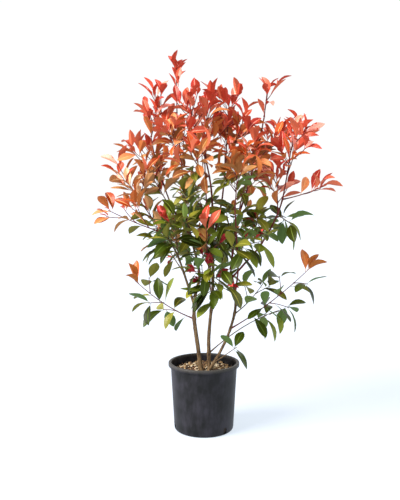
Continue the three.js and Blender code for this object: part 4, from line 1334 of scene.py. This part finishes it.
def limb_tube(name, number):
    """Radius at s millimetres along the limb and angle a round it: the taper with its flare,
    times 1 plus bell curves at the forks and a collar at the foot, times 1 plus a leaf scar
    every 47 mm, fissures sin(5a + slow drift)^3 that fade in and out, and wide dents. The tip is
    rounded off as a half circle."""
    limb = limbs[name]
    curve, plan = limb["curve"], limb["plan"]
    rings = max(8, int(curve.length / RING_SPACING))
    depth = 0 if plan["on"] else ROOT_DEPTH
    s = np.linspace(-depth, curve.length, rings)
    share = np.clip(s, 0, None) / curve.length
    way = unit(curve.at(0.02) - curve.at(0.0))
    centres = curve.at(share) + np.minimum(s, 0)[:, None] * way
    radius = limb_radius(plan, share)
    for fork in forks_on(name):
        away = (s - fork * curve.length) / KNOT_LENGTH
        radius = radius * (1 + KNOT_SWELL * np.exp(-(away**2)))
    if plan["on"]:
        radius = radius * (1 + COLLAR_SWELL * np.exp(-((s / COLLAR_FADE) ** 2)))
    scar = np.exp(-((((s + 17 * number) % SCAR_SPACING) - SCAR_SPACING / 2) / SCAR_WIDTH) ** 2)
    end = np.clip((curve.length - s) / radius[-1], 0, 1)
    rounding = np.sqrt(np.clip(1 - (1 - end) ** 2, 0, 1))
    angle = 2 * np.pi * np.arange(LIMB_SIDES) / LIMB_SIDES
    along = s[:, None]
    drift = 1.3 * np.sin(along / 41 + number) + 0.7 * np.sin(along / 17 + 2 * number)
    fissures = np.sin(5 * angle + drift) ** 3 * (0.6 + 0.4 * np.sin(along / 23 + 3 * angle))
    dents = np.sin(2 * angle + along / 31 + number) * 0.035 + np.sin(3 * angle - along / 13) * 0.02
    scars = SCAR_SWELL * scar[:, None] * (1 + np.sin(angle + 5 * number))
    relief = 1 + FISSURE_DEPTH * fissures + dents + scars
    radii = (radius * rounding)[:, None] * relief
    rings_mm = rings_round(centres[None], np.maximum(radii, 0.05)[None], LIMB_SIDES)
    return tube_points(rings_mm, centres[:1], centres[-1:])[0], tube_faces(1, rings, LIMB_SIDES)


for title, slot, bark in (
    ("stems_and_old_boughs", "stem_bark", old_bark),
    ("young_boughs", "young_bark", young_bark),
):
    names = [name for name, plan in LIMBS.items() if plan["bark"] == slot]
    points, quads, triangles, first = [], [], [], 0
    for number, name in enumerate(names):
        tube, (q, t) = limb_tube(name, number)
        points.append(tube)
        quads.append(q + first)
        triangles.append(t + first)
        first += len(tube)
    faces = np.concatenate(quads), np.concatenate(triangles)
    settle(new_piece(title, np.concatenate(points), faces, [bark]), names)

# %% [markdown]
# ## The pot
#
# A nursery pot is injection moulded from black polypropylene. It has a thin wall that widens
# upwards, a turned-down lip that stiffens the rim, and arched drain notches just above the foot.
# Its wall is one profile turned about the axis. The notches are cut by a Boolean modifier, which
# is applied, because a hole with a wall's thickness can't be had by moving points.

# %% The turned profile
POT_HEIGHT = 254
RIM_RADIUS = 132
FOOT_RADIUS = 110
WALL = 2.5
WALL_FOOT = 14
LIP_OUT = 8
LIP_DROP = 12
FOOT_ROUND = 9
POT_SEGMENTS = 128


def arc(centre, radius, start_deg, end_deg, steps=6):
    """Points (r, z) on an arc of a circle."""
    a = np.radians(np.linspace(start_deg, end_deg, steps))
    return np.stack([centre[0] + radius * np.cos(a), centre[1] + radius * np.sin(a)], axis=1)


def turned_surface(profile, sides):
    """A profile (r, z) turned about Z, as one tube whose foot and tip close on the axis."""
    angle = 2 * np.pi * np.arange(sides) / sides
    r, z = profile[1:-1, 0, None], profile[1:-1, 1, None]
    rings = np.stack([r * np.cos(angle), r * np.sin(angle), z + 0 * angle], axis=-1)
    foot, tip = (np.array([[0, 0, profile[i, 1]]]) for i in (0, -1))
    return tube_points(rings[None], foot, tip), tube_faces(1, len(rings), sides)


def wall_radius(z):
    """The outside of the wall, which widens evenly from the foot to just under the lip."""
    return between(FOOT_RADIUS, RIM_RADIUS - LIP_OUT, z / POT_HEIGHT)


wall_heights = np.linspace(12, POT_HEIGHT - LIP_DROP, 14)
inner_heights = np.linspace(POT_HEIGHT - 8, WALL_FOOT, 14)
pot_profile = np.concatenate([
    [(0, 1.5), (FOOT_RADIUS - 20, 1.5), (FOOT_RADIUS - 19, 0)],
    arc((FOOT_RADIUS - FOOT_ROUND, FOOT_ROUND), FOOT_ROUND, -90, 0),
    np.stack([wall_radius(wall_heights), wall_heights], axis=1),
    [(wall_radius(POT_HEIGHT - 7), POT_HEIGHT - 7), (RIM_RADIUS - WALL - 1.5, POT_HEIGHT - 5.5)],
    [(RIM_RADIUS - WALL, POT_HEIGHT - 7), (RIM_RADIUS - WALL, POT_HEIGHT - LIP_DROP)],
    arc((RIM_RADIUS - WALL / 2, POT_HEIGHT - LIP_DROP), WALL / 2, -180, 0, 5),
    arc((RIM_RADIUS - 3, POT_HEIGHT - 3), 3, 0, 90, 5),
    arc((RIM_RADIUS - 9, POT_HEIGHT - 2), 2, 90, 180, 4),
    np.stack([wall_radius(inner_heights) - WALL, inner_heights], axis=1),
    [(FOOT_RADIUS - 14, WALL + 0.5), (0, WALL + 0.5)],
])
print("pot profile:", len(pot_profile), "points")

# %% [markdown]
# The plastic is almost black, slightly glossy from the mould, with faint scuffs that run up and
# down the wall where pots have been pulled out of one another, and a film of purplish dust in
# large blotches. The top of the rim is painted paler and greyer, which is a painted highlight.

# %% The notches and the plastic
DRAIN_COUNT = 3
FIRST_DRAIN_DEG = -46
DRAIN_WIDTH = 16
DRAIN_HEIGHT = 24
DRAIN_FOOT = 5
SCUFF_STRETCH = 0.3


def arch_cutter(angle):
    """An arch carried outwards through the wall: straight legs under a half circle, as the rings
    of a tube, and turned to its angle round the pot."""
    half = DRAIN_WIDTH / 2
    top = np.radians(np.linspace(0, 180, 13))
    y = np.concatenate([[-half, half], half * np.cos(top)])
    z = np.concatenate([[0, 0], DRAIN_HEIGHT - half + half * np.sin(top)]) + DRAIN_FOOT
    depth = np.array([FOOT_RADIUS - 11, FOOT_RADIUS + 6.0])[:, None]
    x = depth + 0 * y
    c, s = math.cos(angle), math.sin(angle)
    rings = np.stack([x * c - y * s, x * s + y * c, z + 0 * x], axis=-1)
    ends = rings.mean(axis=1)
    points = tube_points(rings[None], ends[:1], ends[1:])
    return new_piece("arch", points, tube_faces(1, 2, len(y)), [])


def cut(piece, cutter):
    """Takes the cutter out of the piece and drops it."""
    modifier = piece.modifiers.new("cut", "BOOLEAN")
    modifier.object = cutter
    modifier.operation = "DIFFERENCE"
    modifier.solver = "EXACT"
    graph = bpy.context.evaluated_depsgraph_get()
    mesh = bpy.data.meshes.new_from_object(piece.evaluated_get(graph))
    piece.modifiers.clear()
    piece.data = mesh
    bpy.data.objects.remove(cutter)


plastic = new_material("black polypropylene", Specular_IOR_Level=0.26, Coat_Weight=0.02)
place = add(plastic, "ShaderNodeTexCoord")
up_and_down = add(
    plastic, "ShaderNodeMapping", {"Scale": (1, 1, SCUFF_STRETCH)}, {0: place.outputs["Object"]}
)
scuffs = add(
    plastic, "ShaderNodeTexNoise", {"Scale": 1 / (26 * MM), "Detail": 6.0, "Roughness": 0.6},
    {0: up_and_down.outputs[0]},
)
dust = add(
    plastic, "ShaderNodeTexNoise", {"Scale": 1 / (70 * MM), "Detail": 3.0},
    {0: place.outputs["Object"]},
)
both = add(
    plastic, "ShaderNodeMath", {"operation": "MULTIPLY"}, {0: scuffs.outputs[0], 1: dust.outputs[0]}
)
shade = add(plastic, "ShaderNodeValToRGB", links={0: both.outputs[0]})
for element, position, colour in zip(shade.color_ramp.elements, (0.18, 0.34), ("070708", "26242b")):
    element.position = position
    element.color = linear(colour)
height = add(plastic, "ShaderNodeSeparateXYZ", links={0: place.outputs["Object"]})
# The top of the rim is painted paler grey towards its top edge: a painted highlight.
rim = add(
    plastic, "ShaderNodeMapRange",
    {
        "From Min": (POT_HEIGHT - LIP_DROP) * MM, "To Min": 0.0,
        "From Max": POT_HEIGHT * MM, "To Max": 0.55,
    },
    {0: height.outputs["Z"]},
)
dust_and_rim_highlight = add(
    plastic, "ShaderNodeMix", {"data_type": "RGBA", 7: linear("57534e")},
    {0: rim.outputs[0], 6: shade.outputs[0]},
)
feed(plastic, "Base Color", dust_and_rim_highlight.outputs[2])
gloss = add(
    plastic, "ShaderNodeMapRange", {"From Min": 0.3, "From Max": 0.7, "To Min": 0.42, "To Max": 0.56},
    {0: scuffs.outputs[0]},
)
feed(plastic, "Roughness", gloss.outputs[0])
bump = add(
    plastic, "ShaderNodeBump", {"Strength": 0.12, "Distance": 0.4 * MM},
    {"Height": scuffs.outputs[0]},
)
feed(plastic, "Normal", bump.outputs[0])
print("plastic:", len(plastic.node_tree.nodes), "nodes")

# %% The pot in place
pot_points, pot_faces = turned_surface(pot_profile, POT_SEGMENTS)
pot = new_piece("nursery_pot", pot_points, pot_faces, [plastic])
for i in range(DRAIN_COUNT):
    cut(pot, arch_cutter(math.radians(FIRST_DRAIN_DEG + 360 * i / DRAIN_COUNT)))
pot.data.set_sharp_from_angle(angle=math.radians(32))
settle(pot, ["pot"])
print("pot:", len(pot.data.polygons), "faces after cutting")

# %% [markdown]
# ## The mulch
#
# The mix in the pot is dark and crumbly, and is covered with chipped bark: pale, angular nuggets
# 10 to 20 mm long, lying at all angles. The mix is a turned surface with a rough top. The
# nuggets are rings of points as well, pushed in and out by luck and flattened, and dealt out
# over the ground in a sunflower's spiral so that they lie evenly but without rows.

# %% The mix
GROUND_FALL = 4
MIX_FLOOR = 3.4
MIX_GAP = 0.6
MIX_UNDER = 3
MIX_ROUGHNESS = 1.6
rng = np.random.default_rng(SEED)

# Peat and fine bark, moist, so it is dark, with crumbs 4 mm wide and no shine.
mix_material = new_material("moist potting mix", Roughness=0.95)
place = add(mix_material, "ShaderNodeTexCoord")
crumbs = add(
    mix_material, "ShaderNodeTexNoise", {"Scale": 1 / (4 * MM), "Detail": 5.0},
    {0: place.outputs["Object"]},
)
earth = add(mix_material, "ShaderNodeValToRGB", links={0: crumbs.outputs[0]})
for element, colour in zip(earth.color_ramp.elements, ("15100c", "33261c")):
    element.color = linear(colour)
feed(mix_material, "Base Color", earth.outputs[0])


def ground_height(r, edge):
    """Level in the middle, and falling by a few millimetres over the outer three tenths."""
    return GROUND - GROUND_FALL * np.clip((r / edge - 0.7) / 0.3, 0, 1)


inside = wall_radius(GROUND) - WALL - MIX_GAP
bottom = wall_radius(WALL_FOOT) - WALL - MIX_GAP
side_heights = np.linspace(WALL_FOOT, GROUND - GROUND_FALL - 2, 6)
radii = np.linspace(inside - 1, 4, 26)
mix_profile = np.concatenate([
    [(0, MIX_FLOOR), (bottom - 6, MIX_FLOOR), (bottom, WALL_FOOT)],
    np.stack([np.linspace(bottom, inside, 6), side_heights], axis=1)[1:],
    np.stack([radii, ground_height(radii, inside) - MIX_UNDER], axis=1),
    [(0, GROUND - MIX_UNDER)],
])
mix_points, mix_faces = turned_surface(mix_profile, 96)
x, y, z = np.moveaxis(mix_points, -1, 0)
rough_top = (z > GROUND - 10) & (np.hypot(x, y) < inside - 3)
mix_points[..., 2] += rough_top * rng.uniform(-MIX_ROUGHNESS, MIX_ROUGHNESS, rough_top.shape)
mix = new_piece("potting_mix_fill", mix_points, mix_faces, [mix_material])
settle(mix, ["potting_mix"])

# %% The nuggets' shapes and places
NUGGETS = 600
NUGGET_SIZE = (4.6, 9.6)
NUGGET_LAYERS = (-0.4, 1.1)
LAYER_HEIGHT = 5
RING_SIDES = 6
RING_HEIGHTS = np.array([-0.62, 0.05, 0.66])
POLE_HEIGHT = 0.8
RING_LUCK = (0.72, 1.22)
POLE_LUCK = (0.8, 1.1)
WIDTH_SHARE = (0.5, 0.9)
THICKNESS_SHARE = (0.35, 0.6)

order = np.arange(NUGGETS)
radius = (inside - 8) * np.sqrt((order + 0.5) / NUGGETS)
angle = order * GOLDEN_ANGLE
size = rng.uniform(*NUGGET_SIZE, NUGGETS)
layer = rng.uniform(*NUGGET_LAYERS, NUGGETS)
height = ground_height(radius, inside) + layer * LAYER_HEIGHT
middle = np.stack([radius * np.cos(angle), radius * np.sin(angle), height], axis=1)
ring_angle = np.arange(RING_SIDES) * np.pi / 3
ring_radius = np.sqrt(1 - RING_HEIGHTS**2)[:, None]
lump = np.stack([
    ring_radius * np.cos(ring_angle),
    ring_radius * np.sin(ring_angle),
    np.repeat(RING_HEIGHTS[:, None], RING_SIDES, axis=1),
], axis=-1)
lumps = lump[None] * rng.uniform(*RING_LUCK, (NUGGETS, len(RING_HEIGHTS), RING_SIDES, 1))
poles = np.array([-POLE_HEIGHT * UP, POLE_HEIGHT * UP]) * rng.uniform(*POLE_LUCK, (NUGGETS, 2, 1))
width = rng.uniform(*WIDTH_SHARE, NUGGETS)
thickness = rng.uniform(*THICKNESS_SHARE, NUGGETS)
stretch = np.stack([np.ones(NUGGETS), width, thickness], axis=1)
axis = unit(rng.normal(size=(NUGGETS, 3)) * [0.5, 0.5, 1])
spin = rng.uniform(0, 2 * np.pi, NUGGETS)


def spun(points, axis, angle):
    """Rows of points turned about each row's own axis: p cos + (k x p) sin + k (k . p)(1 - cos)."""
    extra = (slice(None),) + (None,) * (points.ndim - 2)
    k = axis[extra]
    c, s = np.cos(angle)[extra + (None,)], np.sin(angle)[extra + (None,)]
    along = k * np.sum(k * points, -1, keepdims=True)
    return points * c + np.cross(k, points) * s + along * (1 - c)


scale = (size[:, None] * stretch)[:, None]
lumps = spun(lumps * scale[:, None], axis, spin) + middle[:, None, None]
poles = spun(poles * scale, axis, spin) + middle[:, None]
print("nuggets:", NUGGETS, "up to", round(float(lumps[..., 2].max())), "mm above the floor")

# %% The nuggets' finish
# Chipped pine bark, dry and matt: its cut faces are pale and its outer faces brown to nearly
# black, with a grain 1.5 mm wide. Each colour comes with its share of the nuggets.
CHIPS = {"9c7e58": 0.32, "6a4c34": 0.26, "dac8aa": 0.22, "33241a": 0.2}
chips = []
for i, colour in enumerate(CHIPS):
    chip = new_material(f"pine bark chip {i + 1}", Base_Color=linear(colour), Roughness=0.85)
    roughen(chip, 1.5, 3.0, 0.6, 0.6)
    chips.append(chip)
nugget_faces = tube_faces(NUGGETS, len(RING_HEIGHTS), RING_SIDES)
kind = rng.choice(len(CHIPS), NUGGETS, p=list(CHIPS.values()))
kinds = np.concatenate([np.repeat(kind, len(faces) // NUGGETS) for faces in nugget_faces])
nugget_points = tube_points(lumps, poles[:, 0], poles[:, 1])
nuggets = new_piece("bark_nuggets", nugget_points, nugget_faces, chips, kinds, sharp_deg=38)
settle(nuggets, ["potting_mix"])

# %% [markdown]
# ## Floor, light and camera
#
# The shrub stands on white, in soft light from the upper left, with only a faint bluish shadow
# beside the pot. So the floor is pale and gives off a little light of its own. The surround is
# white near the horizon, which fills every shadow, and dimmer overhead, so that it lays no grey
# veil on the upper sides of the leaves. One broad, low sun adds direction. The camera stands 2.4 m
# away at a height of 0.9 m and looks slightly down.

# %% Floor and light
HORIZON_LIGHT = 1.05
CEILING_LIGHT = 0.4
CEILING_FROM_DEG = 28
CEILING_TO_DEG = 45
SURROUND_COLOUR = (0.975, 0.99, 1.0, 1.0)
HALF_FLOOR = 30000
floor_material = new_material(
    "pale studio floor", Base_Color=linear("9094a0"), Roughness=0.95,
    Emission_Color=linear("eaf5ff"), Emission_Strength=0.76,
)
floor = new_piece(
    "studio_floor",
    [(x * HALF_FLOOR, y * HALF_FLOOR, 0) for x, y in ((-1, -1), (1, -1), (1, 1), (-1, 1))],
    (np.array([[0, 1, 2, 3]]), np.empty((0, 3), int)), [floor_material],
)

scene = bpy.context.scene
scene.view_settings.view_transform = "Standard"
world = bpy.data.worlds.new("white surround under a dimmer ceiling")
world.use_nodes = True
sky = world.node_tree.nodes["Background"]
towards = add(world, "ShaderNodeTexCoord")
height = add(world, "ShaderNodeSeparateXYZ", links={0: towards.outputs["Generated"]})
fade = add(
    world, "ShaderNodeMapRange",
    {
        "From Min": math.sin(math.radians(CEILING_FROM_DEG)), "To Min": HORIZON_LIGHT,
        "From Max": math.sin(math.radians(CEILING_TO_DEG)), "To Max": CEILING_LIGHT,
    },
    {"Value": height.outputs["Z"]},
)
world.node_tree.links.new(fade.outputs[0], sky.inputs["Strength"])
sky.inputs["Color"].default_value = SURROUND_COLOUR
scene.world = world
print("surround:", HORIZON_LIGHT, "at the horizon,", CEILING_LIGHT, "overhead")

# %% Sun
SUN_FROM = np.array([-0.74, -0.4, 0.6])
SUN_STRENGTH = 5.3
SUN_WIDTH_DEG = 34
SUN_COLOUR = (1.0, 0.965, 0.92)
sun_data = bpy.data.lights.new("soft key", "SUN")
sun_data.energy = SUN_STRENGTH
sun_data.angle = math.radians(SUN_WIDTH_DEG)
sun_data.color = SUN_COLOUR
sun = bpy.data.objects.new("soft key", sun_data)
scene.collection.objects.link(sun)
x, y, z = unit(SUN_FROM)
sun.rotation_euler = (0, math.acos(z), math.atan2(y, x))
print("light from", SUN_FROM)

# %% Camera
CAMERA_PLACE = (-0.0146, -2.4, 0.9)
CAMERA_TILT_DOWN_DEG = 5.45
CAMERA_LENS_MM = 47.35
camera_data = bpy.data.cameras.new("camera")
camera_data.lens = CAMERA_LENS_MM
camera = bpy.data.objects.new("camera", camera_data)
scene.collection.objects.link(camera)
camera.location = CAMERA_PLACE
camera.rotation_euler = (math.radians(90 - CAMERA_TILT_DOWN_DEG), 0, 0)
scene.camera = camera
print("camera at", CAMERA_PLACE)
